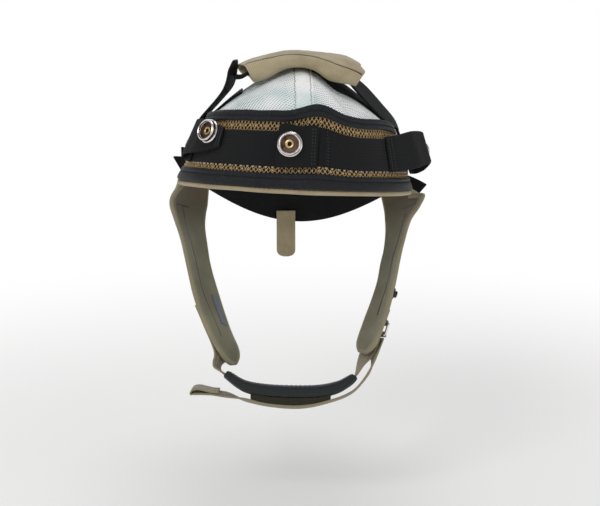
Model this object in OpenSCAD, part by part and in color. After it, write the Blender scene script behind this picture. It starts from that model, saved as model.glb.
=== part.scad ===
// Cloth head harness for a beekeeping veil: a mesh crown on an elastic brow band with three snap
// tabs, ear flaps, a padded chin strap and a crown pad. Millimetres, +Z up, -Y is the wearer's front.

/* [Head opening] */
// Half the width of the head opening at the brow band's lower edge
head_half_w = 86; // [80:1:92]
// Depth of the opening from the ears to the forehead
front_depth = 98; // [92:1:104]
// Depth of the opening from the ears to the nape
rear_depth = 96; // [90:1:102]
// Height of the brow band's lower edge above the origin, at the forehead
brow_z = 24; // [20:1:28]
// Height of the brow band's lower edge above the origin, at the ears
ear_z = 9; // [6:1:12]
// Height that the harness sinks on its right side and rises on its left
side_drop = 4; // [0:0.5:5]

/* [Brow band] */
// Height of the binding along the lower edge
lower_binding_h = 9.5; // [8.5:0.5:11]
// Open mesh that shows between the lower binding and the elastic
lower_gap = 4.5; // [4:0.5:6]
// Width of the elastic webbing
elastic_w = 24; // [22:0.5:26]
// Open mesh that shows between the elastic and the upper binding
upper_gap = 6.5; // [5.5:0.5:7.5]
// Height of the binding along the upper edge
upper_binding_h = 7.5; // [7:0.5:9]
// How far the band leans in from its lower to its upper edge, at the forehead
front_lean = 13; // [10:1:16]
// How far the band leans in from its lower to its upper edge, at the ears
side_lean = 20; // [17:1:22]
// How far the crown sits to the right of the head opening
crown_shift = 4.5; // [0:0.5:5]
// Thickness of the twill lining
lining_t = 1.2; // [1:0.1:1.6]
// Thickness of the mesh cloth
mesh_t = 0.9; // [0.8:0.1:1.2]
// Thickness of the elastic webbing
elastic_t = 1.4; // [1.2:0.1:1.8]
// Thickness of the folded binding tape
binding_t = 1.3; // [1:0.1:1.6]
// Air between two layers of cloth
layer_gap = 0.25; // [0.2:0.05:0.35]

/* [Crown] */
// Height of the crown's peak above the origin
crown_peak = 97.4; // [94:1:102]
// Width of the doubled strip down the middle of the crown
center_strip_w = 22; // [18:1:26]
// Width of the black crown straps
strap_w = 25; // [20:1:28]
// Thickness of the webbing that the straps and tabs are made of
webbing_t = 1.6; // [1.4:0.1:2]
// Radius of the arc that the pad's underside follows over the crown
crown_pad_r = 66; // [64:1:68]

/* [Crown pad] */
// Length of the crown pad from left to right
pad_w = 96; // [84:1:100]
// Depth of the crown pad from front to back
pad_d = 52; // [44:1:58]
// Thickness of the crown pad
pad_t = 11; // [10:0.5:14]
// Thickness of the twill sleeve on the pad
sleeve_t = 1.4; // [1.2:0.1:1.8]

/* [Snaps] */
// Outer diameter of a snap socket's flange
snap_d = 17; // [16:0.5:18]
// Height of a snap socket
snap_h = 4.6; // [4.2:0.2:5]
// Diameter of the stud hole in a socket
snap_bore_d = 12; // [11:0.25:12.5]
// Outer diameter of the brass barrel that rivets a snap through the webbing
barrel_d = 6; // [5:0.25:6.5]
// Diameter of the hole through the barrel
barrel_hole_d = 3; // [2:0.25:3.5]
// Diameter of the cap behind the webbing
cap_d = 12; // [10:0.5:13]

/* [Chin strap] */
// Width of the tan chin strap
chin_strap_w = 20; // [17:1:22]
// Width of the black chin pad from front to back
chin_pad_w = 27; // [25:1:30]
// Thickness of the chin pad's foam
chin_foam_t = 4.5; // [3.5:0.5:5.5]
// Thickness of the chin pad's cover
cover_t = 1.2; // [1:0.1:1.5]
// Diameter of the wire of the strap loop
wire_d = 2; // [1.8:0.1:2.2]
// Height of the strap loop over its wire
loop_h = 12.6; // [12:0.2:14]

/* [Ear flaps] */
// Thickness of one layer of an ear flap
flap_layer_t = 1.6; // [1.2:0.1:2]

/* [Hidden] */
$fn = 48;

tan = [0.66, 0.59, 0.47];
tan_dark = [0.5, 0.43, 0.33];
black = [0.09, 0.1, 0.11];
binding_black = [0.17, 0.18, 0.2];
mesh_white = [0.88, 0.93, 0.93];
mesh_brown = [0.62, 0.47, 0.27];
nickel = [0.8, 0.79, 0.76];
brass = [0.72, 0.6, 0.3];
hook_olive = [0.33, 0.29, 0.18];

// ---------- Arithmetic ----------

function mix(a, b, k) = a + (b - a) * k;
function unit(v) = v / norm(v);
function bell(x, centre, spread) = exp(-pow((x - centre) / spread, 2));
function ease(k) = let(c = max(0, min(1, k))) c * c * (3 - 2 * c);

// One point of a Catmull-Rom curve, on the stretch from p[i] to p[i + 1].
function curve_point(p, i, u) =
    let(last = len(p) - 1, a = p[max(i - 1, 0)], b = p[i], c = p[min(i + 1, last)], d = p[min(i + 2, last)])
    0.5 * (2 * b + (c - a) * u + (2 * a - 5 * b + 4 * c - d) * u * u + (3 * b - a - 3 * c + d) * u * u * u);

// A smooth curve through the listed points, with the given number of steps between two of them.
function curve(p, steps) =
    concat([for (i = [0:len(p) - 2], s = [0:steps - 1]) curve_point(p, i, s / steps)], [p[len(p) - 1]]);

// ---------- Solids from grids of points ----------

// Closed solid between two grids. Columns x rows x inner-to-outer is a right-handed set.
module sheet(inner, outer, ring = false) {
    rows = len(inner);
    cols = len(inner[0]);
    count = rows * cols;
    last = cols - 1;
    spans = ring ? rows : rows - 1;
    function a(i, j) = (i % rows) * cols + j;
    function b(i, j) = count + a(i, j);
    points = concat([for (row = inner) each row], [for (row = outer) each row]);
    skins = [for (i = [0:spans - 1], j = [0:cols - 2]) each [
        [b(i, j), b(i, j + 1), b(i + 1, j + 1)], [b(i, j), b(i + 1, j + 1), b(i + 1, j)],
        [a(i, j), a(i + 1, j + 1), a(i, j + 1)], [a(i, j), a(i + 1, j), a(i + 1, j + 1)]]];
    edges = [for (i = [0:spans - 1]) each [
        [a(i, 0), b(i, 0), b(i + 1, 0)], [a(i, 0), b(i + 1, 0), a(i + 1, 0)],
        [a(i, last), b(i + 1, last), b(i, last)], [a(i, last), a(i + 1, last), b(i + 1, last)]]];
    ends = ring ? [] : [for (j = [0:cols - 2], r = [rows - 1]) each [
        [a(0, j), a(0, j + 1), b(0, j + 1)], [a(0, j), b(0, j + 1), b(0, j)],
        [a(r, j), b(r, j + 1), a(r, j + 1)], [a(r, j), b(r, j), b(r, j + 1)]]];
    polyhedron(points, concat(skins, edges, ends), convexity = 8);
}

// Closed solid through a list of cross-sections, each a ring with the same number of points.
module loft(sections) {
    n = len(sections[0]);
    m = len(sections);
    sides = [for (i = [0:m - 2], j = [0:n - 1]) each [
        [i * n + j, (i + 1) * n + j, (i + 1) * n + (j + 1) % n],
        [i * n + j, (i + 1) * n + (j + 1) % n, i * n + (j + 1) % n]]];
    caps = [[for (j = [0:n - 1]) j], [for (j = [n - 1:-1:0]) (m - 1) * n + j]];
    polyhedron([for (s = sections) each s], concat(sides, caps), convexity = 8);
}

// A route is a list of [x, y, z, wx, wy, wz]: a place and the half-width vector of the webbing there.
function place(q) = [q[0], q[1], q[2]];
function half_width(q) = [q[3], q[4], q[5]];
function along(route, i) =
    unit(place(route[min(i + 1, len(route) - 1)]) - place(route[max(i - 1, 0)]));
function face_normal(route, i) = unit(cross(along(route, i), half_width(route[i])));

// Webbing that follows a route, from one distance to another off the route's own surface.
module webbing(route, from, to) {
    layer = function(off) [for (i = [0:len(route) - 1])
        let(q = route[i], p = place(q) + off * face_normal(route, i)) [p - half_width(q), p + half_width(q)]];
    sheet(layer(from), layer(to));
}

// Rounded rectangle of half-sizes w and h as [x, y] points, counterclockwise, with the given corner radius.
corner_steps = 4;
function round_rect(w, h, r) = [for (q = [0:3], k = [0:corner_steps])
    let(a = 90 * (q + k / corner_steps), sx = (q == 0 || q == 3) ? 1 : -1, sy = q < 2 ? 1 : -1)
    [sx * (w - r) + r * cos(a), sy * (h - r) + r * sin(a)]];

// A ring around a route: x runs along the webbing's width and y off its face, from `low` to `high`.
function section(route, i, grow, low, high) =
    let(q = route[i], n = face_normal(route, i), u = unit(half_width(q)), h = (high - low) / 2)
    [for (c = round_rect(norm(half_width(q)) + grow, h, h * 0.9)) place(q) + u * c[0] + n * (low + h + c[1])];

// ---------- The head shape ----------

band_h = lower_binding_h + lower_gap + elastic_w + upper_gap + upper_binding_h;
elastic_from = lower_binding_h + lower_gap;
elastic_to = elastic_from + elastic_w;
upper_from = elastic_to + upper_gap;

// Where the pieces of the brow band stop, behind the ears, as a turn from the forehead.
band_end = 98;
// Raised wave in the band's upper edge, just right of the middle.
wave_h = 6;
function wave(t) = wave_h * bell(t, 9, 10) - 1.5 * bell(t, 33, 12);

function depth(t) = abs(t) < 90 ? front_depth : rear_depth;
function lower_edge(t) =
    [head_half_w * sin(t), -depth(t) * cos(t), mix(ear_z, brow_z, max(0, cos(t))) - side_drop * sin(t)];
function upper_edge(t) =
    let(lean_in = abs(t) < 90 ? mix(side_lean, front_lean, pow(cos(t), 2)) : side_lean,
        low = lower_edge(t), k = 1 - lean_in / norm([low[0], low[1]]))
    [low[0] * k + crown_shift, low[1] * k, low[2] + sqrt(band_h * band_h - lean_in * lean_in) + wave(t)];
function band_line(t, v) = mix(lower_edge(t), upper_edge(t), v / band_h);
function band_normal(t, v) =
    unit(cross(band_line(t + 1, v) - band_line(t - 1, v), band_line(t, v + 1) - band_line(t, v - 1)));
// A point of the band: turn from the forehead, height along the slope, distance off the inner face.
function band(t, v, off) = band_line(t, v) + off * band_normal(t, v);

// Distances of the layers off the inner face.
mesh_off = lining_t + layer_gap;
trim_off = mesh_off + mesh_t + layer_gap;
tab_off = trim_off + elastic_t + layer_gap;

// A layer of the band between two turns, two heights and two distances.
band_step = 6;
module band_layer(t0, t1, v0, v1, off, thick, steps_up = 2) {
    turns = ceil((t1 - t0) / band_step);
    grid = function(d) [for (i = [0:turns]) [for (j = [0:steps_up])
        band(mix(t0, t1, i / turns), mix(v0, v1, j / steps_up), d)]];
    sheet(grid(off), grid(off + thick));
}

// ---------- Crown ----------

crown_grid = 22;
crown_from = upper_from + 2;
crown_roundness = 1.8;
// The crown sags between the center strip and the right strap.
sag_h = 4.5;
// A point of the dome at radius r (0 at the peak, 1 at the rim) and turn t, `off` from its inner face.
function dome_line(r, t) =
    let(rim = band(t, crown_from, mesh_off), peak = crown_peak - mesh_t,
        drop = (peak - rim[2]) * pow(r, crown_roundness) + sag_h * bell(t, 62, 32) * sin(180 * r))
    [mix(crown_shift / 2, rim[0], r), rim[1] * r, peak - drop];
function dome_normal(r, t) =
    let(q = dome_line(r, t), slope = crown_roundness * (crown_peak - q[2]) / max(r, 0.05))
    unit([sin(t) * slope / head_half_w, -cos(t) * slope / front_depth, 1]);
function dome(r, t, off) = dome_line(r, t) + off * dome_normal(r, t);
// The dome over a square grid from -1 to 1, which has no pole.
function dome_grid(u, v, off) =
    let(x = u * sqrt(1 - v * v / 2), y = v * sqrt(1 - u * u / 2))
    dome(min(1, norm([x, y])), atan2(x, -y), off);

module crown_mesh() {
    grid = function(off) [for (i = [0:crown_grid]) [for (j = [0:crown_grid])
        dome_grid(2 * i / crown_grid - 1, 2 * j / crown_grid - 1, off)]];
    color(mesh_white) sheet(grid(0), grid(mesh_t));
}

strip_rim = 0.97;
// The strip lies a little loose over the fold in the crown.
strip_slack = 0.5;
module crown_center_strip() {
    rows = 24;
    grid = function(off) [for (i = [0:2]) [for (j = [0:rows])
        let(y = mix(-strip_rim, strip_rim, j / rows), x = (i - 1) * center_strip_w / 2 / head_half_w)
        dome(min(strip_rim, norm([x, y])), atan2(x, -y), off)]];
    off = mesh_t + layer_gap + strip_slack;
    color(mesh_white) sheet(grid(off), grid(off + mesh_t));
}

module upper_binding() {
    color(binding_black) band_layer(-band_end, band_end, upper_from, band_h, trim_off, binding_t, 2);
}

module brow_mesh() {
    color(mesh_brown)
        band_layer(-band_end, band_end, 1, crown_from - 0.5, mesh_off, mesh_t, 3);
}

module elastic_band() {
    color(black) band_layer(-band_end, band_end, elastic_from, elastic_to, trim_off, elastic_t, 2);
}

module lower_binding() {
    color(binding_black) band_layer(-band_end, band_end, 0, lower_binding_h, trim_off, binding_t, 2);
}

lining_drop = 3;
module brow_lining() {
    color(tan) band_layer(-band_end, band_end, -lining_drop, crown_from - 0.5, 0, lining_t, 3);
}

// ---------- Back of the cap ----------

rear_from = band_end + 0.6;
rear_to = 360 - rear_from;
// Height of the rear band's top edge: just under the brow band's end, dropping to the nape.
nape_z = -17;
rear_band_w = 24;
rear_side_z = ear_z + rear_band_w;
function rear_top(t) = mix(nape_z, rear_side_z, pow(abs(sin(t)), 2)) - side_drop * sin(t);
// A point of the back, from the crown's rim (k = 0) to the rear band's top edge (k = 1).
function back_line(t, k) =
    let(rim = band(t, crown_from, mesh_off), full = lower_edge(t), z = mix(rim[2], rear_top(t), k),
        g = sin(90 * k), flat = [mix(rim[0], full[0], g), mix(rim[1], full[1], g)])
    [flat[0], flat[1], z];
function back_normal(t, k) =
    unit(cross(back_line(t + 1, k) - back_line(t - 1, k), back_line(t, k - 0.02) - back_line(t, k + 0.02)));

module back_panel() {
    turns = 20;
    rows = 6;
    grid = function(off) [for (i = [0:turns]) [for (j = [0:rows])
        let(t = mix(rear_from, rear_to, i / turns), k = mix(0.99, 0.02, j / rows))
        back_line(t, k) + (off + mesh_off) * back_normal(t, k)]];
    color(mesh_white) sheet(grid(0), grid(mesh_t));
}

function rear_point(t, drop, off) =
    let(rim = lower_edge(t), out = unit([rim[0] / pow(head_half_w, 2), rim[1] / pow(rear_depth, 2), 0]))
    [rim[0], rim[1], rear_top(t) - drop] + off * out;

module rear_layer(t0, t1, drop0, drop1, off, thick, turns = 24) {
    grid = function(d) [for (i = [0:turns])
        let(t = mix(t0, t1, i / turns)) [rear_point(t, drop1, d), rear_point(t, drop0, d)]];
    sheet(grid(off), grid(off + thick));
}

module rear_band() {
    color(black) rear_layer(rear_from, rear_to, 0, rear_band_w, mesh_off, webbing_t);
}

// Adjusting strap over the rear band, with its two ends standing out behind the ears.
rear_strap_w = 19;
// How far each end of the strap stands off the head and how far it rises, left and right.
left_flare = [7, -2];
right_flare = [18, -14];
module rear_strap() {
    margin = (rear_band_w - rear_strap_w) / 2;
    off = mesh_off + webbing_t + layer_gap;
    turns = 26;
    loose = 5;
    flare = function(i) right_flare * pow(max(0, 1 - i / loose), 2)
        + left_flare * pow(max(0, 1 - (turns - i) / loose), 2);
    grid = function(d) [for (i = [0:turns])
        let(t = mix(rear_from + 8, rear_to - 8, i / turns), f = flare(i))
        [rear_point(t, margin + rear_strap_w, d + f[0]) + [0, 0, f[1]],
         rear_point(t, margin, d + f[0]) + [0, 0, f[1]]]];
    color(black) sheet(grid(off), grid(off + webbing_t));
}

tongue_w = 16;
tongue_x = -8;
tongue_l = 40;
module nape_tongue() {
    rounding = 6;
    off = mesh_off - webbing_t - 2 * layer_gap;
    reach = tongue_w / 2 + abs(tongue_x);
    place_y = rear_depth * sqrt(1 - pow(reach / head_half_w, 2)) + off;
    color(tan) translate([tongue_x, place_y, nape_z - rear_band_w + 10]) rotate([-90, 0, 0])
        linear_extrude(webbing_t) hull() {
            translate([-tongue_w / 2, 0]) square([tongue_w, 1]);
            for (s = [-1, 1])
                translate([s * (tongue_w / 2 - rounding), tongue_l - rounding]) circle(rounding, $fn = 24);
        }
}

// ---------- Snap tabs on the elastic ----------

// Turn of each tab's stitched root, and of its far end or fold.
front_root = 9;
front_end = -9;
left_root = -40;
left_end = -66;
right_root = 50;
right_end = 74;
// How far the front tab stands off the elastic, to hold the snap's cap behind it.
tab_stand = 2.6;
tab_rise = 1;

module front_tab() {
    rows = 10;
    grid = function(d) [for (i = [0:rows])
        let(k = i / rows, t = mix(front_end, front_root, k),
            off = tab_off + tab_stand * ease((1 - k) * 3), peak = 4 * bell(t, -6, 5))
        [band(t, elastic_from - tab_rise, off + d), band(t, elastic_to + tab_rise + peak, off + d)]];
    color(black) difference() {
        sheet(grid(0), grid(webbing_t));
        snap_hole(front_seat);
    }
}

// Route of a doubled tab: out from its root, round the fold and back under itself.
// Each step is [share of the way from root to fold, distance off the elastic, rise of the upper edge].
left_steps = [[0, 0.4, 0], [0.2, 2.4, 1.5], [0.5, 5, 4], [0.8, 6, 4], [0.98, 5.6, 3], [1.03, 4, 2],
    [0.96, 2.4, 1], [0.82, 2.2, 0]];
right_steps = [[0, 0.4, 0], [0.3, 4.6, 1], [0.7, 11.2, 2.8], [1.05, 16, 2], [1.2, 17.6, 0.8], [1.3, 16, 0],
    [1.35, 12.2, 0], [1.4, 8, 0], [1.44, 4.6, 0], [1.4, 2.5, 0], [1.26, 2.4, 0]];
function tab_route(root, end, steps) = curve([for (s = steps)
    let(t = mix(root, end, s[0]), low = band(t, elastic_from - tab_rise, tab_off + s[1]),
        high = band(t, elastic_to + tab_rise + s[2], tab_off + s[1]), half = (high - low) / 2)
    concat((low + high) / 2, half)], 3);

left_route = tab_route(left_root, left_end, left_steps);
right_route = tab_route(right_root, right_end, right_steps);

module left_tab() {
    color(black) difference() {
        webbing(left_route, -webbing_t, 0);
        snap_hole(left_seat);
    }
}

module right_tab() {
    color(black) difference() {
        webbing(right_route, 0, webbing_t);
        snap_hole(right_seat);
    }
}

// ---------- Snaps ----------

flange_t = 1.2;
cap_t = 1.4;
floor_t = 1.2;
post_h = 2.6;
spring_d = 0.8;

// Place and outward direction of each snap, on the outer face of its tab.
front_seat_t = -3.2;
front_seat_v = elastic_from + elastic_w * 0.6;
front_seat = [band(front_seat_t, front_seat_v, tab_off + tab_stand + webbing_t),
    band_normal(front_seat_t, front_seat_v)];
left_seat = route_seat(left_route, 4, 0.42, webbing_t, -1);
right_seat = route_seat(right_route, 19, 0.15, webbing_t, 1);
function route_seat(route, i, up, off, side) =
    let(q = route[i], n = face_normal(route, i) * side)
    [place(q) + up * half_width(q) + off * n, n];

module at_seat(seat) {
    axis = seat[1];
    translate(seat[0]) rotate([0, acos(axis[2]), atan2(axis[1], axis[0])]) children();
}

// Hole through a tab's webbing for a snap's barrel.
rivet_r = barrel_d / 2 - 0.6;
module snap_hole(seat) {
    at_seat(seat) cylinder(r = rivet_r + 0.15, h = 3 * webbing_t, center = true);
}

module snap_socket() {
    r = snap_d / 2;
    bore = snap_bore_d / 2;
    groove = bore + spring_d + 0.15;
    color(nickel) translate([0, 0, layer_gap]) rotate_extrude() polygon([
        [barrel_d / 2 + 0.15, 0], [r, 0], [r, flange_t * 0.6], [r - 0.5, flange_t],
        [bore + 1.9, flange_t], [bore + 1.7, snap_h - 0.7], [bore + 1.3, snap_h], [bore + 0.5, snap_h],
        [bore, snap_h - 0.5], [bore, floor_t + 1.6], [groove, floor_t + 1.6], [groove, floor_t + 0.4],
        [bore, floor_t + 0.4], [bore, floor_t], [barrel_d / 2 + 0.15, floor_t]]);
}

module snap_button() {
    barrel = barrel_d / 2;
    hole = barrel_hole_d / 2;
    back = -webbing_t - 0.7;
    color(brass) rotate_extrude() polygon([
        [0, back - cap_t], [cap_d / 2 - 0.6, back - cap_t], [cap_d / 2, back - cap_t + 0.6],
        [cap_d / 2, back], [rivet_r, back], [rivet_r, floor_t + layer_gap],
        [barrel, floor_t + layer_gap + 0.3], [barrel, post_h - 0.4], [barrel - 0.4, post_h],
        [hole + 0.2, post_h], [hole, post_h - 0.3], [hole, 0], [0, 0]]);
}

module snap_spring() {
    color(nickel) translate([0, 0, layer_gap + floor_t + 1]) rotate_extrude()
        translate([snap_bore_d / 2 + spring_d / 2, 0]) circle(d = spring_d, $fn = 16);
}

module front_snap_socket() { at_seat(front_seat) snap_socket(); }
module left_snap_socket() { at_seat(left_seat) snap_socket(); }
module right_snap_socket() { at_seat(right_seat) snap_socket(); }
module front_snap_button() { at_seat(front_seat) snap_button(); }
module left_snap_button() { at_seat(left_seat) snap_button(); }
module right_snap_button() { at_seat(right_seat) snap_button(); }
module front_snap_spring() { at_seat(front_seat) snap_spring(); }
module left_snap_spring() { at_seat(left_seat) snap_spring(); }
module right_snap_spring() { at_seat(right_seat) snap_spring(); }

// ---------- Crown straps and pad ----------

// The straps and the pad follow arcs round one axis, which runs front to back.
arc_x = 1;
arc_z = crown_peak + mesh_t + layer_gap + strip_slack + 0.3 - crown_pad_r;
function arc_point(angle, y, r) = [arc_x + r * sin(angle), y, arc_z + r * cos(angle)];

pad_y = -4;
// Half the angle that the pad covers, at its front and at its back edge.
front_span = pad_w / 2 / (crown_pad_r + pad_t) * 50;
back_span = pad_w / 2 / (crown_pad_r + pad_t) * 63;
pad_turn = 2.5;
function pad_span(y) = mix(front_span, back_span, (y - pad_y) / pad_d + 0.5);

// A point of the pad: k from -1 (left) to 1 (right), y off its middle, h above its underside.
function pad_point(k, y, h) = arc_point(pad_turn + k * pad_span(pad_y + y), pad_y + y, crown_pad_r + h);

arc_steps = 12;
function pad_ring(shrink, k) =
    [for (c = round_rect(pad_d / 2 - shrink, pad_t / 2 - shrink, pad_t / 2 - shrink - 0.5))
        pad_point(k, c[0], pad_t / 2 + c[1])];

// Closed sleeve, open at both ends: rings of points turned into a grid that runs round and along.
function turned(rings) = [for (j = [0:len(rings[0]) - 1]) [for (r = rings) r[j]]];

module top_pad_cover() {
    rings = function(shrink) turned([for (i = [0:arc_steps]) pad_ring(shrink, 2 * i / arc_steps - 1)]);
    color(tan) sheet(rings(sleeve_t), rings(0), ring = true);
}

// Room inside the sleeve: two straps below, the foam above them.
slip = 0.4;
strap_room = 2 * webbing_t + 2 * slip;
module top_pad_foam() {
    low = sleeve_t + strap_room + slip;
    high = pad_t - sleeve_t - slip;
    w = pad_d / 2 - sleeve_t - 3;
    ring = function(k) [for (c = round_rect(w, (high - low) / 2, 1.5))
        pad_point(k, c[0], (low + high) / 2 + c[1])];
    color([0.25, 0.25, 0.26]) loft([for (i = [0:arc_steps]) ring(mix(-0.86, 0.86, i / arc_steps))]);
}

strap_y = -3;
// Strap stations along the arc: [angle, distance from the arc's axis].
function arc_stations(angles, r) = [for (a = angles)
    let(p = arc_point(a, strap_y, r)) [p[0], p[1], p[2], 0, strap_w / 2, 0]];

lower_strap_r = crown_pad_r + sleeve_t + slip;
upper_strap_r = lower_strap_r + webbing_t + slip / 2;

// A point on the outside of the upper binding, for the straps' feet.
function side_rim(t, v) = band(t, v, trim_off + binding_t + 3 * layer_gap);
function foot_station(t, v, off) = concat(side_rim(t, v) + [sign(t) * off, 0, 0], [0, strap_w / 2, 0]);
foot_h = 9;
foot_clear = 0.6;

// The left leg rises from the band past the pad to a free tip.
module crown_strap_left() {
    feet = [for (v = [band_h - foot_h, band_h - foot_h / 2, band_h])
        foot_station(-90, v, webbing_t + foot_clear)];
    route = curve(concat(feet, [[-52.7, 0, crown_peak - 15.4, 1.8, strap_w / 2, 0],
        [-48.2, 0, crown_peak - 1.4, 3.2, strap_w / 2, -1],
        [-45.9, 0, crown_peak + 6.1, 1.4, strap_w / 5, 0]]), 3);
    color(black) webbing(route, -webbing_t, 0);
}

// The strap from the left leg into the pad.
module crown_bridge() {
    inside = arc_stations([-34, -28, -20, -12, -4, 4, 12, 20], upper_strap_r);
    route = concat([[-45.2, strap_y, crown_peak - 6.2, 0, strap_w / 2, 0],
        [-42.8, strap_y, crown_peak - 7.2, 0, strap_w / 2, 0]], inside);
    color(black) webbing(curve(route, 2), 0, webbing_t);
}

// The right strap comes out under the pad and follows the head down to the band.
module crown_strap_right() {
    feet = [for (v = [band_h, band_h - foot_h / 2, band_h - foot_h]) foot_station(90, v, foot_clear)];
    inside = arc_stations([-15, -7, 1, 9, 17, 25, 33, 40], lower_strap_r);
    route = concat(inside, [[56.5, 0, crown_peak - 24.4, -2, strap_w / 2, 3],
        [66.5, 0, crown_peak - 34.9, -2, strap_w / 2, 2.5]], feet);
    color(black) webbing(curve(route, 2), 0, webbing_t);
}

// Short strap laid on the mesh beside each leg, between two shares of the dome's radius.
module anchor_strap(side, from, to) {
    rows = 8;
    half = strap_w / 2 / front_depth;
    grid = function(off) [for (i = [0:rows]) [for (y = [-half, half])
        let(x = side * mix(from, to, i / rows)) dome(norm([x, y]), atan2(x, -y), off)]];
    low = mesh_t + layer_gap;
    color(black) if (side > 0) sheet(grid(low), grid(low + webbing_t));
        else sheet(grid(low + webbing_t), grid(low));
}
module crown_anchor_left() { anchor_strap(-1, 0.6, 0.93); }
module crown_anchor_right() { anchor_strap(1, 0.52, 0.9); }

// ---------- Ear flaps ----------

flap_t = 2 * flap_layer_t + layer_gap;
flap_from = 90;
flap_to = 124;
// Edges of each flap's outer face below the head opening, from top to bottom.
left_front = [[-95.3, -8, 0], [-93.5, -9, -7.5], [-90, -10, -17], [-87, -13, -32], [-82, -19, -53],
    [-77.5, -25, -71], [-72, -30, -85.5], [-63, -36, -104], [-55, -38, -118], [-50, -37, -123.5]];
left_back = [[-74, 50, -17], [-75, 42, -24], [-75, 33, -33], [-72.5, 22, -45], [-69, 11, -60],
    [-61.5, -2, -81], [-53, -14, -103], [-46.5, -21, -116], [-45, -26, -121], [-46.5, -31, -124.5]];
right_front = [[97.5, -8, 0], [93.5, -9, -9], [88, -10, -17], [84, -13, -32], [80.5, -17, -46],
    [77, -22, -63], [73, -28, -78], [68.3, -35, -91], [61.2, -42, -106.5], [55, -42, -113]];
right_back = [[75, 50, -20], [75.5, 42, -26], [75.5, 31, -36], [73.5, 20, -48], [70.5, 13, -58],
    [67.5, 4, -70], [62, -6, -83.5], [56.3, -15, -95.5], [50.2, -26, -109.5], [50.2, -34, -114]];

// The flap's top edge follows the lower edge of the brow band and then of the rear band.
function flap_top(side, a) =
    let(t = side * mix(flap_from, flap_to, a), rim = lower_edge(t),
        low = abs(t) < band_end + 3 ? rim[2] - lining_drop : rear_top(t) - rear_band_w)
    [rim[0] + side * 1.6, rim[1] + 0.8, low - 0.6];

// A station of a flap: its front edge, its back edge and how far its middle bulges.
flap_steps = 2;
function flap_stations(side, front, back) =
    let(f = curve(concat([flap_top(side, 0)], front), flap_steps),
        b = curve(concat([flap_top(side, 1)], back), flap_steps), last = len(f) - 1)
    [for (i = [0:last]) [f[i], b[i], 6 * pow(1 - i / last, 1.5) + 0.6, i]];
// A point of a flap's outer face, at share `a` from front to back.
function flap_line(side, s, a) =
    let(chord = s[1] - s[0], out = unit([chord[1], -chord[0], 0]) * side,
        follow = max(0, 1 - s[3] / 4), top = flap_top(side, a) - mix(flap_top(side, 0), flap_top(side, 1), a))
    mix(s[0], s[1], a) + mix(out * s[2] * sin(180 * a), top, follow);
function flap_face(side, stations, i, a, off) =
    let(last = len(stations) - 1, i0 = max(i - 1, 0), i1 = min(i + 1, last),
        down = flap_line(side, stations[i1], a) - flap_line(side, stations[i0], a),
        back = flap_line(side, stations[i], a + 0.05) - flap_line(side, stations[i], a - 0.05))
    flap_line(side, stations[i], a) + off * side * unit(cross(down, back));

left_stations = flap_stations(-1, left_front, left_back);
right_stations = flap_stations(1, right_front, right_back);

// A layer of a flap between two rows, two shares of its width and two distances off its outer face.
module flap_layer(side, stations, i0, i1, a0, a1, from, to) {
    cols = 4;
    grid = function(off) [for (i = [i0:i1]) [for (j = [0:cols])
        flap_face(side, stations, i, mix(a0, a1, j / cols), off)]];
    if (side > 0) sheet(grid(from), grid(to));
        else sheet(grid(to), grid(from));
}
flap_rows = len(left_stations) - 1;

module left_ear_flap() {
    color(tan) flap_layer(-1, left_stations, 0, flap_rows, 0, 1, -flap_layer_t, 0);
}
module left_flap_lining() {
    color(tan_dark) flap_layer(-1, left_stations, 0, flap_rows, 0, 1, -flap_t, -flap_t + flap_layer_t);
}
module right_ear_flap() {
    color(tan) flap_layer(1, right_stations, 0, flap_rows, 0, 1, -flap_layer_t, 0);
}
module right_flap_lining() {
    color(tan_dark) flap_layer(1, right_stations, 0, flap_rows, 0, 1, -flap_t, -flap_t + flap_layer_t);
}

// Small patch on the inside of the left flap.
module flap_patch() {
    color([0.45, 0.5, 0.56])
        flap_layer(-1, left_stations, 12, 14, 0.72, 0.9, -flap_t - layer_gap - 0.9, -flap_t - layer_gap);
}

// Dark snap stud on the outside of the right flap.
stud_row = 13;
stud_share = 0.12;
module flap_stud() {
    seat = flap_face(1, right_stations, stud_row, stud_share, layer_gap);
    out = seat - flap_face(1, right_stations, stud_row, stud_share, 0);
    color([0.2, 0.19, 0.18]) at_seat([seat, unit(out)]) rotate_extrude() polygon([
        [0, 0], [4.6, 0], [4.6, 0.6], [4, 1], [2.6, 1.1], [2.3, 1.6], [2.7, 2.6], [2.3, 3.2], [0, 3.4]]);
}

// ---------- Strap loop on the right flap ----------

loop_row = 17;
loop_share = 0.6;
loop_w = chin_strap_w + 2;
wire_r = wire_d / 2;
strap_t = webbing_t - 0.2;
fold_r = wire_r + 0.85;
// The loop hangs flat along the flap: out of the flap's face, up along it and across it.
loop_foot = flap_face(1, right_stations, loop_row, loop_share, 0);
loop_up = unit(flap_face(1, right_stations, loop_row - 5, loop_share, 0) - loop_foot);
loop_across = unit(cross(loop_up, flap_face(1, right_stations, loop_row, loop_share, 1) - loop_foot));
loop_out = cross(loop_across, loop_up);
loop_seat = loop_foot + (fold_r + strap_t + 0.6) * loop_out;
bar_rise = loop_h - wire_d;

// The loop's own frame: the lower bar lies along y at the origin, +x points away from the flap.
module at_loop() {
    multmatrix([for (i = [0:2]) [loop_out[i], loop_across[i], loop_up[i], loop_seat[i]]]) children();
}
function from_loop(p) = loop_seat + p[0] * loop_out + p[1] * loop_across + p[2] * loop_up;

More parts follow.
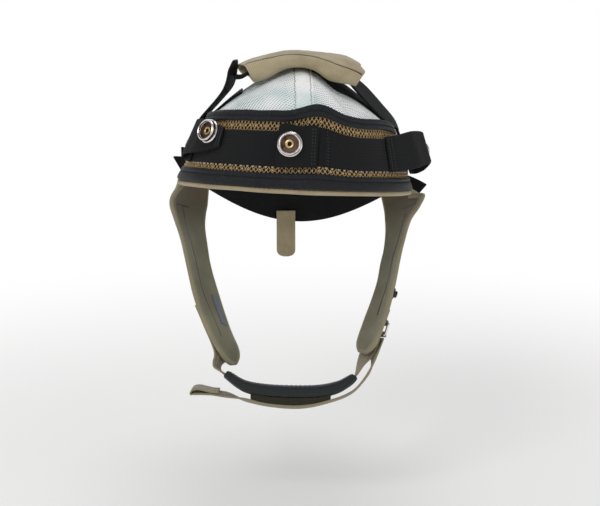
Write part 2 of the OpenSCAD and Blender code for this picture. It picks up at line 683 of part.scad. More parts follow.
module strap_loop() {
    bend = 2;
    half = loop_w / 2 + wire_r;
    color(nickel) at_loop() {
        for (z = [0, bar_rise]) translate([0, 0, z])
            rotate([90, 0, 0]) cylinder(r = wire_r, h = 2 * (half - bend), center = true);
        for (s = [-1, 1]) translate([0, s * half, bend]) cylinder(r = wire_r, h = bar_rise - 2 * bend);
        for (s = [-1, 1], top = [0, 1])
            translate([0, s * (half - bend), top ? bar_rise - bend : bend])
            rotate([0, 90, 0]) rotate([0, 0, top ? (s > 0 ? 90 : 180) : (s > 0 ? 0 : 270)])
            rotate_extrude(angle = 90) translate([bend, 0]) circle(wire_r, $fn = 24);
    }
}

keeper_w = 17;
keeper_h = 11;
module loop_keeper() {
    inner = wire_r + 0.35;
    outer = inner + 1.3;
    color(tan_dark) at_loop() translate([0, 0, bar_rise]) rotate([90, 0, 0])
        linear_extrude(keeper_w, center = true) difference() {
            union() {
                circle(outer);
                translate([-outer, 0]) square([2.6, keeper_h]);
            }
            circle(inner);
        }
}

// ---------- Chin strap ----------

half_w = chin_strap_w / 2;
// The chin strap hangs in a plane that leans back from the chin to the ears.
chin_tilt = 25;
chin_y = -51;
chin_z = -145.5;
across_chin = [0, cos(chin_tilt), -sin(chin_tilt)];
// A point of that plane: x to the side, s up from the middle of the chin pad's underside.
function chin_point(x, s) = [x, chin_y + s * sin(chin_tilt), chin_z + s * cos(chin_tilt)];
function chin_station(q, half) = concat(chin_point(q[0], q[1]), half * across_chin);

// The strap starts flat on the left flap's outer face, on these rows.
strap_start = [for (i = [13, 15, 17])
    let(a = flap_face(-1, left_stations, i, 0.42, 2 * layer_gap + strap_t),
        across = unit(left_stations[i][1] - left_stations[i][0])) concat(a, half_w * across)];
across_loop = loop_across;
// Round the loop's lower bar and down its outer side.
fold_turns = [-20, 20, 55, 90, 125, 160, 190];
fold_stations = [for (a = fold_turns)
    concat(from_loop([-fold_r * cos(a), 0, fold_r * sin(a)]), half_w * across_loop)];

// The strap inside the chin pad in the chin plane, from left to right.
pad_line = [[-52.5, 17], [-43, 9.4], [-34, 5.2], [-18, 2.5], [1, 1.6], [18, 2.2], [30, 4.8], [38, 8.6],
    [46, 15.4]];
pad_stations = [for (q = pad_line) chin_station(q, half_w)];
strap_route = curve(concat(strap_start,
    [chin_station([-60.4, 27], half_w), chin_station([-60.6, 22], half_w)],
    pad_stations, [chin_station([51, 26], half_w) + [0, 1, 0, -2, 0, 2],
    [56.3, -31.5, -114, -4, 9.2, 0]], fold_stations), 2);
module chin_strap() {
    color(tan) webbing(strap_route, 0, strap_t);
}

// Steps of the strap's route at which the pad begins and ends.
pad_from = 2 * (len(strap_start) + 2);
pad_to = pad_from + 2 * (len(pad_line) - 1);
pad_last = pad_to - pad_from;
// How far the pad reaches under the strap and over it: full in the middle, thin at the ends.
pad_under = cover_t + 0.4;
pad_end_h = cover_t + strap_t + 1.4;
function pad_over(i) = pad_end_h + (chin_foam_t - 0.4) * pow(sin(180 * i / pad_last), 0.6);

module chin_pad_cover() {
    side = chin_pad_w / 2 - half_w;
    rings = function(shrink) turned([for (i = [0:pad_last])
        section(strap_route, pad_from + i, side - shrink, shrink - pad_under, pad_over(i) - shrink)]);
    color(black) sheet(rings(cover_t), rings(0), ring = true);
}

module chin_pad_foam() {
    side = chin_pad_w / 2 - half_w - cover_t - 2;
    color([0.25, 0.25, 0.26]) loft([for (i = [2:pad_last - 2])
        section(strap_route, pad_from + i, side, strap_t + 0.3, pad_over(i) - cover_t - 0.3)]);
}

// Underside of the tail in the chin plane, from its free end to below the strap loop.
tail_line = [[-38, -1.6], [-26, -4.6], [-14, -6.4], [-2, -7.2], [9, -6.7], [24, -3.6], [40, 2],
    [50, 10], [59.6, 25]];
tail_start = from_loop([fold_r * cos(12) + 0.6, 0, -fold_r * sin(12) - 1]);
tail_route = curve(concat([concat(chin_point(-78, 4.1), [0, half_w, 0]),
    concat(chin_point(-63, 3.8), [0, half_w, 0]),
    concat(chin_point(-51, 2), [0, half_w * 0.98, -half_w * 0.2])],
    [for (q = tail_line) chin_station(q, half_w)], [concat(tail_start, half_w * across_loop)]), 2);

module chin_tail() {
    color(tan) webbing(tail_route, 0, strap_t);
}

// Hook and pile tape that joins the tail to the pad's underside.
hook_gap = 0.35;
module chin_hook_tape() {
    places = [-33, -26, -18, -10, -2, 6, 14, 22, 27];
    half = (half_w - 0.5) * across_chin;
    grid = function(line, off) [for (x = places)
        let(p = chin_point(x, lookup(x, line) + off)) [p - half, p + half]];
    color(hook_olive) sheet(grid(tail_line, strap_t + hook_gap), grid(pad_line, -pad_under - hook_gap - 0.1));
}

// The tail's free end is folded over itself and sewn.
module tail_end_hem() {
    color(tan) webbing([for (i = [0:2]) tail_route[i]], strap_t + 0.3, 2 * strap_t + 0.3);
}

crown_mesh();
crown_center_strip();
back_panel();
upper_binding();
brow_mesh();
elastic_band();
lower_binding();
brow_lining();
front_tab();
left_tab();
right_tab();
front_snap_socket();
left_snap_socket();
right_snap_socket();
front_snap_button();
left_snap_button();
right_snap_button();
front_snap_spring();
left_snap_spring();
right_snap_spring();
rear_band();
rear_strap();
nape_tongue();
left_ear_flap();
left_flap_lining();
right_ear_flap();
right_flap_lining();
flap_stud();
flap_patch();
crown_strap_left();
crown_strap_right();
crown_bridge();
crown_anchor_left();
crown_anchor_right();
top_pad_cover();
top_pad_foam();
chin_strap();
chin_pad_cover();
chin_pad_foam();
chin_hook_tape();
chin_tail();
tail_end_hem();
strap_loop();
loop_keeper();
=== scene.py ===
# Cloth head harness cap: its cloth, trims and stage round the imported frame.
import math
import random

import bmesh
import bpy
from mathutils import Matrix, Vector, noise


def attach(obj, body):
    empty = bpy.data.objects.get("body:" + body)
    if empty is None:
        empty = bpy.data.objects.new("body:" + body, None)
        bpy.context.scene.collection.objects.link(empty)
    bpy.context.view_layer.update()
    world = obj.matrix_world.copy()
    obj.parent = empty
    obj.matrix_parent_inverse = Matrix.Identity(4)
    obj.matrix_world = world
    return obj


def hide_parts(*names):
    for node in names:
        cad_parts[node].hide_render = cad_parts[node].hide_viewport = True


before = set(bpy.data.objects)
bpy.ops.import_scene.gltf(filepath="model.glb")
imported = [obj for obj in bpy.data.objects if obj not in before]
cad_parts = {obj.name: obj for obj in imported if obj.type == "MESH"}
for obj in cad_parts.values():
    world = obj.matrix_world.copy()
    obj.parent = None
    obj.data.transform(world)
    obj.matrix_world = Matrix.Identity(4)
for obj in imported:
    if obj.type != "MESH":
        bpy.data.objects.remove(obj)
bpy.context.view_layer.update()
random.seed(11)
mm = 0.001
print("frame loaded,", len(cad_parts), "nodes")

stageLook = {
    "camera": (0.004, -0.88, 0.17),
    "aim": (0.004, 0.0, -0.045),
    "lens": 70,
    "floorHeight": -0.235,
    "floorColour": (0.93, 0.93, 0.925),
    "worldLight": 0.42,
}


def aimAt(thing, target):
    direction = Vector(target) - thing.location
    thing.rotation_euler = direction.to_track_quat("-Z", "Y").to_euler()


def addLamp(name, place, size, power, colour=(1, 1, 1)):
    bpy.ops.object.light_add(type="AREA", location=place)
    lamp = bpy.context.object
    lamp.name = name
    lamp.data.shape = "DISK"
    lamp.data.size = size
    lamp.data.energy = power
    lamp.data.color = colour
    aimAt(lamp, (0, 0, -0.02))
    return lamp


def makeStage():
    scene = bpy.context.scene
    bpy.ops.object.camera_add(location=stageLook["camera"])
    camera = bpy.context.object
    camera.name = "viewCamera"
    camera.data.lens = stageLook["lens"]
    camera.data.sensor_width = 36
    camera.data.clip_start = 0.01
    camera.data.clip_end = 100
    aimAt(camera, stageLook["aim"])
    scene.camera = camera
    scene.view_settings.view_transform = "Standard"

    world = bpy.data.worlds.new("studio")
    scene.world = world
    world.use_nodes = True
    tree = world.node_tree
    background = tree.nodes["Background"]
    background.inputs["Color"].default_value = (1, 1, 1, 1)
    rays = tree.nodes.new("ShaderNodeLightPath")
    seen = tree.nodes.new("ShaderNodeMath")
    seen.operation = "MAXIMUM"
    tree.links.new(rays.outputs["Is Camera Ray"], seen.inputs[0])
    tree.links.new(rays.outputs["Is Transmission Ray"], seen.inputs[1])
    strength = tree.nodes.new("ShaderNodeMapRange")
    strength.inputs["To Min"].default_value = stageLook["worldLight"]
    strength.inputs["To Max"].default_value = 1.0
    tree.links.new(seen.outputs[0], strength.inputs["Value"])
    tree.links.new(strength.outputs[0], background.inputs["Strength"])

    addLamp("keyLamp", (-0.75, -1.0, 0.95), 0.8, 7.5)
    addLamp("fillLamp", (0.95, -0.85, 0.45), 1.0, 3)
    addLamp("topLamp", (0.1, 0.2, 1.3), 0.9, 3.6)
    addLamp("backLamp", (-0.2, 1.2, 0.5), 1.0, 4)

    bpy.ops.mesh.primitive_circle_add(vertices=96, radius=1.0, fill_type="NGON")
    floor = bpy.context.object
    floor.name = "floor"
    floor.data.transform(Matrix.Scale(30, 4))
    floor.data.transform(Matrix.Translation((0, 0, stageLook["floorHeight"])))
    material = bpy.data.materials.new("paleFloor")
    material.use_nodes = True
    floorTree = material.node_tree
    shader = floorTree.nodes["Principled BSDF"]
    shader.inputs["Base Color"].default_value = (*stageLook["floorColour"], 1)
    shader.inputs["Roughness"].default_value = 0.9
    glow = floorTree.nodes.new("ShaderNodeEmission")
    place = floorTree.nodes.new("ShaderNodeTexCoord")
    length = floorTree.nodes.new("ShaderNodeVectorMath")
    length.operation = "LENGTH"
    fade = floorTree.nodes.new("ShaderNodeMapRange")
    fade.interpolation_type = "SMOOTHSTEP"
    fade.inputs["From Min"].default_value = 0.24
    fade.inputs["From Max"].default_value = 0.8
    mixer = floorTree.nodes.new("ShaderNodeMixShader")
    floorTree.links.new(place.outputs["Object"], length.inputs[0])
    floorTree.links.new(length.outputs["Value"], fade.inputs["Value"])
    floorTree.links.new(fade.outputs[0], mixer.inputs[0])
    floorTree.links.new(shader.outputs[0], mixer.inputs[1])
    floorTree.links.new(glow.outputs[0], mixer.inputs[2])
    floorTree.links.new(mixer.outputs[0], floorTree.nodes["Material Output"].inputs["Surface"])
    floor.data.materials.append(material)


makeStage()
print("stage ready")

# Sizes of the harness in millimetres, as the frame has them.
head = {
    "halfWidth": 86, "front": 98, "rear": 96, "browHeight": 24, "earHeight": 9, "sideDrop": 4,
    "frontLean": 13, "sideLean": 20, "crownShift": 4.5, "peak": 97.4, "roundness": 1.8, "end": 98,
    "napeHeight": -17, "rearBand": 24,
}
band = {
    "lowerBinding": 9.5, "elasticFrom": 14, "elasticTo": 38, "upperFrom": 44.5, "height": 52,
    "crownFrom": 46.5, "lining": 1.2, "mesh": 0.9, "elastic": 1.4, "binding": 1.3, "gap": 0.25,
    "meshOff": 1.45, "trimOff": 2.6, "tabOff": 4.25, "webbing": 1.6,
}


def mix(a, b, k):
    return a + (b - a) * k


def bell(x, centre, spread):
    return math.exp(-(((x - centre) / spread) ** 2))


def ease(k):
    k = max(0, min(1, k))
    return k * k * (3 - 2 * k)


def sinDeg(a):
    return math.sin(math.radians(a))


def cosDeg(a):
    return math.cos(math.radians(a))


def curveAt(points, x):
    # Catmull-Rom curve through tuples or vectors of any length, x counts the points
    last = len(points) - 1
    i = max(0, min(last - 1, int(math.floor(x))))
    u = x - i
    a, b, c, d = (points[max(0, min(last, j))] for j in (i - 1, i, i + 1, i + 2))
    return [
        0.5 * (2 * q + (r - p) * u + (2 * p - 5 * q + 4 * r - s) * u * u + (3 * q - p - 3 * r + s) * u ** 3)
        for p, q, r, s in zip(a, b, c, d)
    ]


def lowerEdge(t):
    depth = head["front"] if abs(t) < 90 else head["rear"]
    height = mix(head["earHeight"], head["browHeight"], max(0, cosDeg(t)))
    return Vector((head["halfWidth"] * sinDeg(t), -depth * cosDeg(t), height - head["sideDrop"] * sinDeg(t)))


def upperEdge(t):
    lean = head["sideLean"]
    if abs(t) < 90:
        lean = mix(head["sideLean"], head["frontLean"], cosDeg(t) ** 2)
    low = lowerEdge(t)
    k = 1 - lean / math.hypot(low.x, low.y)
    wave = 6 * bell(t, 9, 10) - 1.5 * bell(t, 33, 12)
    rise = math.sqrt(band["height"] ** 2 - lean ** 2)
    return Vector((low.x * k + head["crownShift"], low.y * k, low.z + rise + wave))


def bandLine(t, v):
    return lowerEdge(t).lerp(upperEdge(t), v / band["height"])


def bandNormal(t, v):
    side = bandLine(t + 1, v) - bandLine(t - 1, v)
    rise = bandLine(t, v + 1) - bandLine(t, v - 1)
    return side.cross(rise).normalized()


def bandPoint(t, v, off):
    return bandLine(t, v) + off * bandNormal(t, v)


crownFolds = [
    # from x, y to x, y on the plan, width, height
    (16, -30, 34, -76, 9, 2.6),
    (38, -28, 60, -56, 8, 2.2),
    (27, -40, 47, -70, 6, -2.2),
    (-52, -34, -14, -66, 12, 1.6),
    (-30, 30, -52, 52, 14, 1.5),
    (34, 30, 50, 55, 14, 1.4),
]


def foldLift(x, y):
    lift = 0
    for x0, y0, x1, y1, width, height in crownFolds:
        run = Vector((x1 - x0, y1 - y0))
        reach = Vector((x - x0, y - y0))
        k = max(0, min(1, reach.dot(run) / run.length_squared))
        away = (reach - run * k).length
        ends = math.sin(math.pi * min(1, max(0, 0.15 + 0.7 * k)))
        lift += height * ends * bell(away, 0, width)
    return lift


def domeLine(r, t):
    rim = bandPoint(t, band["crownFrom"], band["meshOff"])
    peak = head["peak"] - band["mesh"]
    slump = ease((r - 0.16) / 0.3) * sinDeg(90 * min(1, (1 - r) / 0.5))
    sag = 8.0 * bell(t, 58, 30) * slump + 3.5 * bell(t, -66, 28) * sinDeg(180 * r)
    return Vector((
        mix(head["crownShift"] / 2, rim.x, r),
        rim.y * r,
        peak - (peak - rim.z) * r ** head["roundness"] - sag,
    ))


def domeNormal(r, t):
    q = domeLine(r, t)
    slope = head["roundness"] * (head["peak"] - q.z) / max(r, 0.05)
    return Vector((sinDeg(t) * slope / head["halfWidth"], -cosDeg(t) * slope / head["front"], 1)).normalized()


def domePoint(r, t, off):
    p = domeLine(r, t)
    rimHold = ease((1 - r) / 0.16)
    return p + (off + rimHold * foldLift(p.x, p.y)) * domeNormal(r, t)


def domeAt(x, y, off):
    # x and y run from -1 to 1 over the crown
    r = math.hypot(x, y)
    return domePoint(min(1, r), math.degrees(math.atan2(x, -y)), off)


def squareToDome(u, v, off):
    return domeAt(u * math.sqrt(1 - v * v / 2), v * math.sqrt(1 - u * u / 2), off)


def rearTop(t):
    sideHeight = head["earHeight"] + head["rearBand"]
    return mix(head["napeHeight"], sideHeight, sinDeg(t) ** 2) - head["sideDrop"] * sinDeg(t)


def backLine(t, k):
    rim = bandPoint(t, band["crownFrom"], band["meshOff"])
    full = lowerEdge(t)
    g = sinDeg(90 * k)
    return Vector((mix(rim.x, full.x, g), mix(rim.y, full.y, g), mix(rim.z, rearTop(t), k)))


def backPoint(t, k, off):
    side = backLine(t + 1, k) - backLine(t - 1, k)
    rise = backLine(t, k - 0.02) - backLine(t, k + 0.02)
    return backLine(t, k) + off * side.cross(rise).normalized()


def rearPoint(t, drop, off):
    rim = lowerEdge(t)
    out = Vector((rim.x / head["halfWidth"] ** 2, rim.y / head["rear"] ** 2, 0)).normalized()
    return Vector((rim.x, rim.y, rearTop(t) - drop)) + off * out


def routePoint(route, x, across, off):
    # a route lists place and half-width vector; across runs from -1 to 1
    q = curveAt(route, x)
    ahead = Vector(curveAt(route, min(x + 0.05, len(route) - 1))[:3])
    behind = Vector(curveAt(route, max(x - 0.05, 0))[:3])
    half = Vector(q[3:])
    normal = (ahead - behind).cross(half).normalized()
    return Vector(q[:3]) + across * half + off * normal


def alone(piece):
    bpy.ops.object.select_all(action="DESELECT")
    piece.select_set(True)
    bpy.context.view_layer.objects.active = piece


def applyModifier(piece, kind, **settings):
    alone(piece)
    modifier = piece.modifiers.new(kind, kind)
    for key, value in settings.items():
        setattr(modifier, key, value)
    bpy.ops.object.modifier_apply(modifier=modifier.name)


def smoothPiece(piece, angle=40):
    alone(piece)
    bpy.ops.object.shade_smooth_by_angle(angle=math.radians(angle))


def dress(piece, material, body, nodes=()):
    piece.data.materials.clear()
    piece.data.materials.append(material)
    for polygon in piece.data.polygons:
        polygon.material_index = 0
    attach(piece, body)
    if nodes:
        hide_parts(*nodes)
    return piece


def gridPiece(name, rule, along, across):
    # rule(u, v) gives a place in millimetres; the map is in millimetres too
    bpy.ops.object.select_all(action="DESELECT")
    bpy.ops.mesh.primitive_grid_add(x_subdivisions=along, y_subdivisions=across, size=1, calc_uvs=True)
    piece = bpy.context.object
    piece.name = name
    piece.data.name = name
    mesh = piece.data
    spots = [(vertex.co.x + 0.5, vertex.co.y + 0.5) for vertex in mesh.vertices]
    for vertex, (u, v) in zip(mesh.vertices, spots):
        vertex.co = rule(u, v) * mm
    lengths = [
        sum((rule((i + 1) / 24, v) - rule(i / 24, v)).length for i in range(24)) for v in (0, 0.25, 0.5,
        0.75, 1)]
    widths = [
        sum((rule(u, (i + 1) / 12) - rule(u, i / 12)).length for i in range(12)) for u in (0, 0.25, 0.5,
        0.75, 1)]
    runLength = lengths[2]
    runWidth = widths[2]
    layer = mesh.uv_layers.active.data
    for loop in mesh.loops:
        u, v = spots[loop.vertex_index]
        layer[loop.index].uv = (u * runLength, v * runWidth)
    piece["flatLength"] = max(lengths)
    piece["flatWidth"] = max(widths)
    return piece


def sheetArea(piece):
    return sum(polygon.area for polygon in piece.data.polygons)


def thicken(piece, thickness, roundness=0.35):
    piece["area"] = sheetArea(piece)
    applyModifier(piece, "SOLIDIFY", thickness=thickness * mm, offset=0, use_even_offset=False)
    width = roundness * thickness * mm
    applyModifier(piece, "BEVEL", width=width, segments=2, limit_method="ANGLE", angle_limit=math.radians(55))
    smoothPiece(piece, 50)
    return piece


def tubeInto(bm, points, radius, sides=6, flat=1.0, up=None):
    # sweeps a small tube through points given in millimetres
    rings = []
    side = None
    for i, p in enumerate(points):
        run = (points[min(i + 1, len(points) - 1)] - points[max(i - 1, 0)]).normalized()
        if up is not None:
            side = up[i].cross(run).normalized()
        elif side is None:
            guess = Vector((0, 0, 1)) if abs(run.z) < 0.9 else Vector((1, 0, 0))
            side = guess.cross(run).normalized()
        else:
            side = (side - run * side.dot(run)).normalized()
        lift = run.cross(side)
        size = radius[i] if isinstance(radius, (list, tuple)) else radius
        ring = []
        for j in range(sides):
            a = 2 * math.pi * j / sides
            ring.append(bm.verts.new((p + side * size * math.cos(a) + lift * size * flat * math.sin(a)) * mm))
        rings.append(ring)
    for first, second in zip(rings, rings[1:]):
        for j in range(sides):
            k = (j + 1) % sides
            bm.faces.new((first[j], first[k], second[k], second[j]))
    bm.faces.new(list(reversed(rings[0])))
    bm.faces.new(rings[-1])


def meshPiece(name, bm, smooth=60):
    mesh = bpy.data.meshes.new(name)
    bmesh.ops.recalc_face_normals(bm, faces=bm.faces)
    bm.to_mesh(mesh)
    bm.free()
    piece = bpy.data.objects.new(name, mesh)
    bpy.context.collection.objects.link(piece)
    smoothPiece(piece, smooth)
    return piece


def makeStitchShape():
    # one thread stitch, one unit long and thick, copied along every seam
    bpy.ops.object.select_all(action="DESELECT")
    bpy.ops.mesh.primitive_uv_sphere_add(segments=8, ring_count=5, radius=0.5)
    stitch = bpy.context.object
    mesh = stitch.data.copy()
    bpy.data.objects.remove(stitch)
    return mesh


stitchShape = makeStitchShape()


# length, width and height of the stitches that most straps and hems share
strapStitch = (1.8, 0.55, 0.4)
fineStitch = (1.7, 0.5, 0.4)


def seam(name, place, count, size, material, body, slant=0.0, start=0.0, end=1.0, scatter=0.0):
    # place(k) gives a point and the way out; size is length, width and height in millimetres
    bm = bmesh.new()
    for i in range(count):
        k = mix(start, end, (i + 0.5) / count)
        step = 0.5 * (end - start) / count
        p, out = place(k)
        run = (place(min(1, k + step))[0] - place(max(0, k - step))[0]).normalized()
        side = out.cross(run).normalized()
        run = run * math.cos(slant) + side * math.sin(slant)
        side = out.cross(run).normalized()
        wobble = 1 + random.uniform(-0.08, 0.08)
        p = p + side * random.uniform(-scatter, scatter)
        turn = Matrix((run, side, out)).transposed().to_4x4()
        scale = Matrix.Diagonal((size[0] * wobble * mm, size[1] * mm, size[2] * mm, 1))
        before = len(bm.verts)
        bm.from_mesh(stitchShape)
        bm.verts.ensure_lookup_table()
        matrix = Matrix.Translation(p * mm) @ turn @ scale
        bmesh.ops.transform(bm, matrix=matrix, verts=bm.verts[before:])
    piece = meshPiece(name, bm)
    return dress(piece, material, body)


print("makers ready")


class Nodes:
    # short ways to add shader nodes to one material
    def __init__(self, name):
        self.material = bpy.data.materials.new(name)
        self.material.use_nodes = True
        self.tree = self.material.node_tree
        self.shader = self.tree.nodes["Principled BSDF"]

    def add(self, kind, **settings):
        made = self.tree.nodes.new("ShaderNode" + kind)
        for key, value in settings.items():
            setattr(made, key, value)
        return made

    def link(self, source, target):
        self.tree.links.new(source, target)

    def calc(self, operation, a, b=None, c=None):
        made = self.add("Math", operation=operation)
        for socket, value in zip(made.inputs, (a, b, c)):
            if value is None:
                continue
            if isinstance(value, (int, float)):
                socket.default_value = value
            else:
                self.link(value, socket)
        return made.outputs[0]

    def flatPlace(self):
        # the piece's own map, in millimetres along and across the cloth
        place = self.add("UVMap")
        split = self.add("SeparateXYZ")
        self.link(place.outputs["UV"], split.inputs[0])
        return split.outputs[0], split.outputs[1]

    def spacePlace(self, scale=1000):
        place = self.add("TexCoord")
        grow = self.add("VectorMath", operation="SCALE")
        grow.inputs["Scale"].default_value = scale
        self.link(place.outputs["Object"], grow.inputs[0])
        return grow.outputs[0]

    def noise(self, vector, scale, detail=3, roughness=0.55):
        made = self.add("TexNoise")
        made.inputs["Scale"].default_value = scale
        made.inputs["Detail"].default_value = detail
        made.inputs["Roughness"].default_value = roughness
        self.link(vector, made.inputs["Vector"])
        return made.outputs["Fac"]

    def wave(self, value, pitch, shift=0):
        # 0 to 1, one swell for each pitch
        turned = self.calc("MULTIPLY_ADD", value, 2 * math.pi / pitch, shift)
        return self.calc("MULTIPLY_ADD", self.calc("SINE", turned), 0.5, 0.5)

    def blend(self, factor, first, second):
        made = self.add("Mix", data_type="RGBA")
        for socket, value in ((made.inputs[6], first), (made.inputs[7], second)):
            if isinstance(value, tuple):
                socket.default_value = (*value, 1)
            else:
                self.link(value, socket)
        if isinstance(factor, (int, float)):
            made.inputs[0].default_value = factor
        else:
            self.link(factor, made.inputs[0])
        return made.outputs[2]

    def spread(self, value, low, high, toLow=0.0, toHigh=1.0):
        made = self.add("MapRange", interpolation_type="SMOOTHSTEP")
        for name, number in (("From Min", low), ("From Max", high), ("To Min", toLow), ("To Max", toHigh)):
            made.inputs[name].default_value = number
        self.link(value, made.inputs["Value"])
        return made.outputs[0]

    def bump(self, height, distance, strength=1.0):
        made = self.add("Bump")
        made.inputs["Distance"].default_value = distance * mm
        made.inputs["Strength"].default_value = strength
        self.link(height, made.inputs["Height"])
        self.link(made.outputs["Normal"], self.shader.inputs["Normal"])

    def finish(self, colour, roughness, sheen=0.0, specular=0.3, metallic=0.0):
        if isinstance(colour, tuple):
            self.shader.inputs["Base Color"].default_value = (*colour, 1)
        else:
            self.link(colour, self.shader.inputs["Base Color"])
        if isinstance(roughness, (int, float)):
            self.shader.inputs["Roughness"].default_value = roughness
        else:
            self.link(roughness, self.shader.inputs["Roughness"])
        self.shader.inputs["Sheen Weight"].default_value = sheen
        self.shader.inputs["Sheen Roughness"].default_value = 0.5
        self.shader.inputs["Specular IOR Level"].default_value = specular
        self.shader.inputs["Metallic"].default_value = metallic
        return self.material


def twillCloth(name, light, dark, worn, pitch=0.85, depth=0.16, shade=None):
    n = Nodes(name)
    along, across = n.flatPlace()
    space = n.spacePlace()
    ribs = n.wave(n.calc("ADD", along, n.calc("MULTIPLY", across, 1.9)), pitch * 1.9)
    threads = n.wave(n.calc("SUBTRACT", across, n.calc("MULTIPLY", along, 0.5)), pitch * 0.75)
    weave = n.calc("MULTIPLY", ribs, n.calc("MULTIPLY_ADD", threads, 0.45, 0.55))
    cloudy = n.spread(n.noise(space, 0.045, 4), 0.35, 0.68)
    fuzz = n.noise(space, 1.6, 2)
    base = n.blend(cloudy, light, worn)
    lit = n.blend(n.calc("MULTIPLY_ADD", weave, -0.62, 0.62), base, dark)
    colour = n.blend(n.spread(fuzz, 0.58, 0.78, 0, 0.25), lit, light)
    if shade:
        # painted shade: the cloth darkens towards its upper end, where it is folded in
        split = n.add("SeparateXYZ")
        n.link(space, split.inputs[0])
        foldShade = n.spread(split.outputs[2], shade[0], shade[1], 0, 0.85)
        colour = n.blend(foldShade, colour, shade[2])
    n.bump(n.calc("MULTIPLY_ADD", fuzz, 0.35, weave), depth)
    return n.finish(colour, 0.88, sheen=0.25, specular=0.15)


def ribbedWebbing(name, light, dark, pitch=0.8, ends=1.5, depth=0.2, gloss=0.62, sheen=0.15, streak=None):
    # fine ribs across the webbing, crossed by long warp lines
    n = Nodes(name)
    along, across = n.flatPlace()
    space = n.spacePlace()
    ribs = n.wave(along, pitch)
    warps = n.wave(across, ends)
    weave = n.calc(
        "MULTIPLY", n.calc("MULTIPLY_ADD", ribs, 0.55, 0.45), n.calc("MULTIPLY_ADD", warps, 0.5, 0.5))
    fuzz = n.noise(space, 1.1, 3)
    colour = n.blend(weave, dark, light)
    if streak:
        lines = n.spread(n.wave(across, streak[0]), 0.55, 0.8)
        colour = n.blend(n.calc("MULTIPLY", lines, 0.6), colour, streak[1])
    colour = n.blend(n.spread(fuzz, 0.55, 0.8, 0, 0.35), colour, light)
    n.bump(n.calc("MULTIPLY_ADD", fuzz, 0.3, weave), depth)
    return n.finish(colour, gloss, sheen=sheen, specular=0.18)


def bindingTape():
    n = Nodes("bindingTape")
    along = n.flatPlace()[0]
    space = n.spacePlace()
    grain = n.wave(along, 0.55)
    cloudy = n.noise(space, 0.12, 3)
    scuff = n.spread(n.noise(space, 0.7, 4), 0.5, 0.72)
    colour = n.blend(cloudy, (0.005, 0.006, 0.0078), (0.0145, 0.0165, 0.02))
    colour = n.blend(n.calc("MULTIPLY", scuff, 0.3), colour, (0.042, 0.046, 0.052))
    n.bump(n.calc("MULTIPLY_ADD", cloudy, 1.5, grain), 0.07)
    return n.finish(colour, 0.55, sheen=0.02, specular=0.17)


def knitElastic():
    n = Nodes("knitElastic")
    along, across = n.flatPlace()
    space = n.spacePlace()
    cords = n.wave(across, 1.15)
    loops = n.wave(along, 0.9)
    weave = n.calc(
        "MULTIPLY", n.calc("MULTIPLY_ADD", cords, 0.7, 0.3), n.calc("MULTIPLY_ADD", loops, 0.4, 0.6))
    fuzz = n.noise(space, 0.9, 4)
    colour = n.blend(weave, (0.002, 0.0022, 0.0024), (0.0105, 0.011, 0.0125))
    colour = n.blend(n.spread(fuzz, 0.55, 0.8, 0, 0.2), colour, (0.026, 0.028, 0.03))
    n.bump(weave, 0.22)
    return n.finish(colour, 0.75, sheen=0.04, specular=0.16)


def crownMeshCloth(name, white, hole, pitch=3.1, plain=None):
    # white warp knit: dark slanted eyelets in a brick order, plain leaves a closer knit between two lines
    n = Nodes(name)
    along, across = n.flatPlace()
    space = n.spacePlace()
    slanted = n.calc("ADD", along, n.calc("MULTIPLY", across, 0.12))
    first = n.calc("SINE", n.calc("MULTIPLY", slanted, 2 * math.pi / pitch))
    second = n.calc("SINE", n.calc("MULTIPLY", across, 2 * math.pi / (pitch * 1.08)))
    brick = n.calc("MULTIPLY", first, second)
    eyelet = n.spread(brick, 0.08, 0.42)
    sheer = n.spread(n.noise(space, 0.03, 2), 0.35, 0.65, 0.5, 1.0)
    tint = n.blend(n.spread(n.noise(space, 0.02, 2), 0.4, 0.7), white, (0.66, 0.78, 0.77))
    shade = n.calc("MULTIPLY", eyelet, sheer)
    if plain:
        inside = n.calc(
            "MULTIPLY", n.spread(along, plain[0] - 0.6, plain[0]),
            n.spread(along, plain[1], plain[1] + 0.6, 1, 0))
        shade = n.calc("MULTIPLY", shade, n.calc("MULTIPLY_ADD", inside, -0.9, 1.0))
        fleck = n.spread(n.noise(space, 0.75, 2), 0.6, 0.72)
        tint = n.blend(n.calc("MULTIPLY", n.calc("MULTIPLY", fleck, inside), 0.55), tint, (0.42, 0.30, 0.26))
    colour = n.blend(shade, tint, hole)
    threads = n.wave(along, 0.5)
    n.bump(n.calc("SUBTRACT", n.calc("MULTIPLY", threads, 0.15), eyelet), 0.3)
    return n.finish(colour, 0.72, sheen=0.2, specular=0.25)


def plainThread(name, light, dark, gloss=0.55):
    n = Nodes(name)
    space = n.spacePlace()
    mixed = n.noise(space, 1.3, 2)
    n.bump(n.noise(space, 5, 1), 0.06)
    return n.finish(n.blend(mixed, dark, light), gloss, specular=0.35)


def platedMetal(name, light, dark, gloss=0.2, scratch=0.35):
    n = Nodes(name)
    space = n.spacePlace()
    stain = n.spread(n.noise(space, 0.35, 4), 0.4, 0.75)
    wear = n.noise(space, 3.5, 3)
    n.bump(wear, 0.02)
    colour = n.blend(n.calc("MULTIPLY", stain, scratch), light, dark)
    rough = n.calc("MULTIPLY_ADD", wear, 0.16, gloss)
    return n.finish(colour, rough, specular=0.5, metallic=1.0)


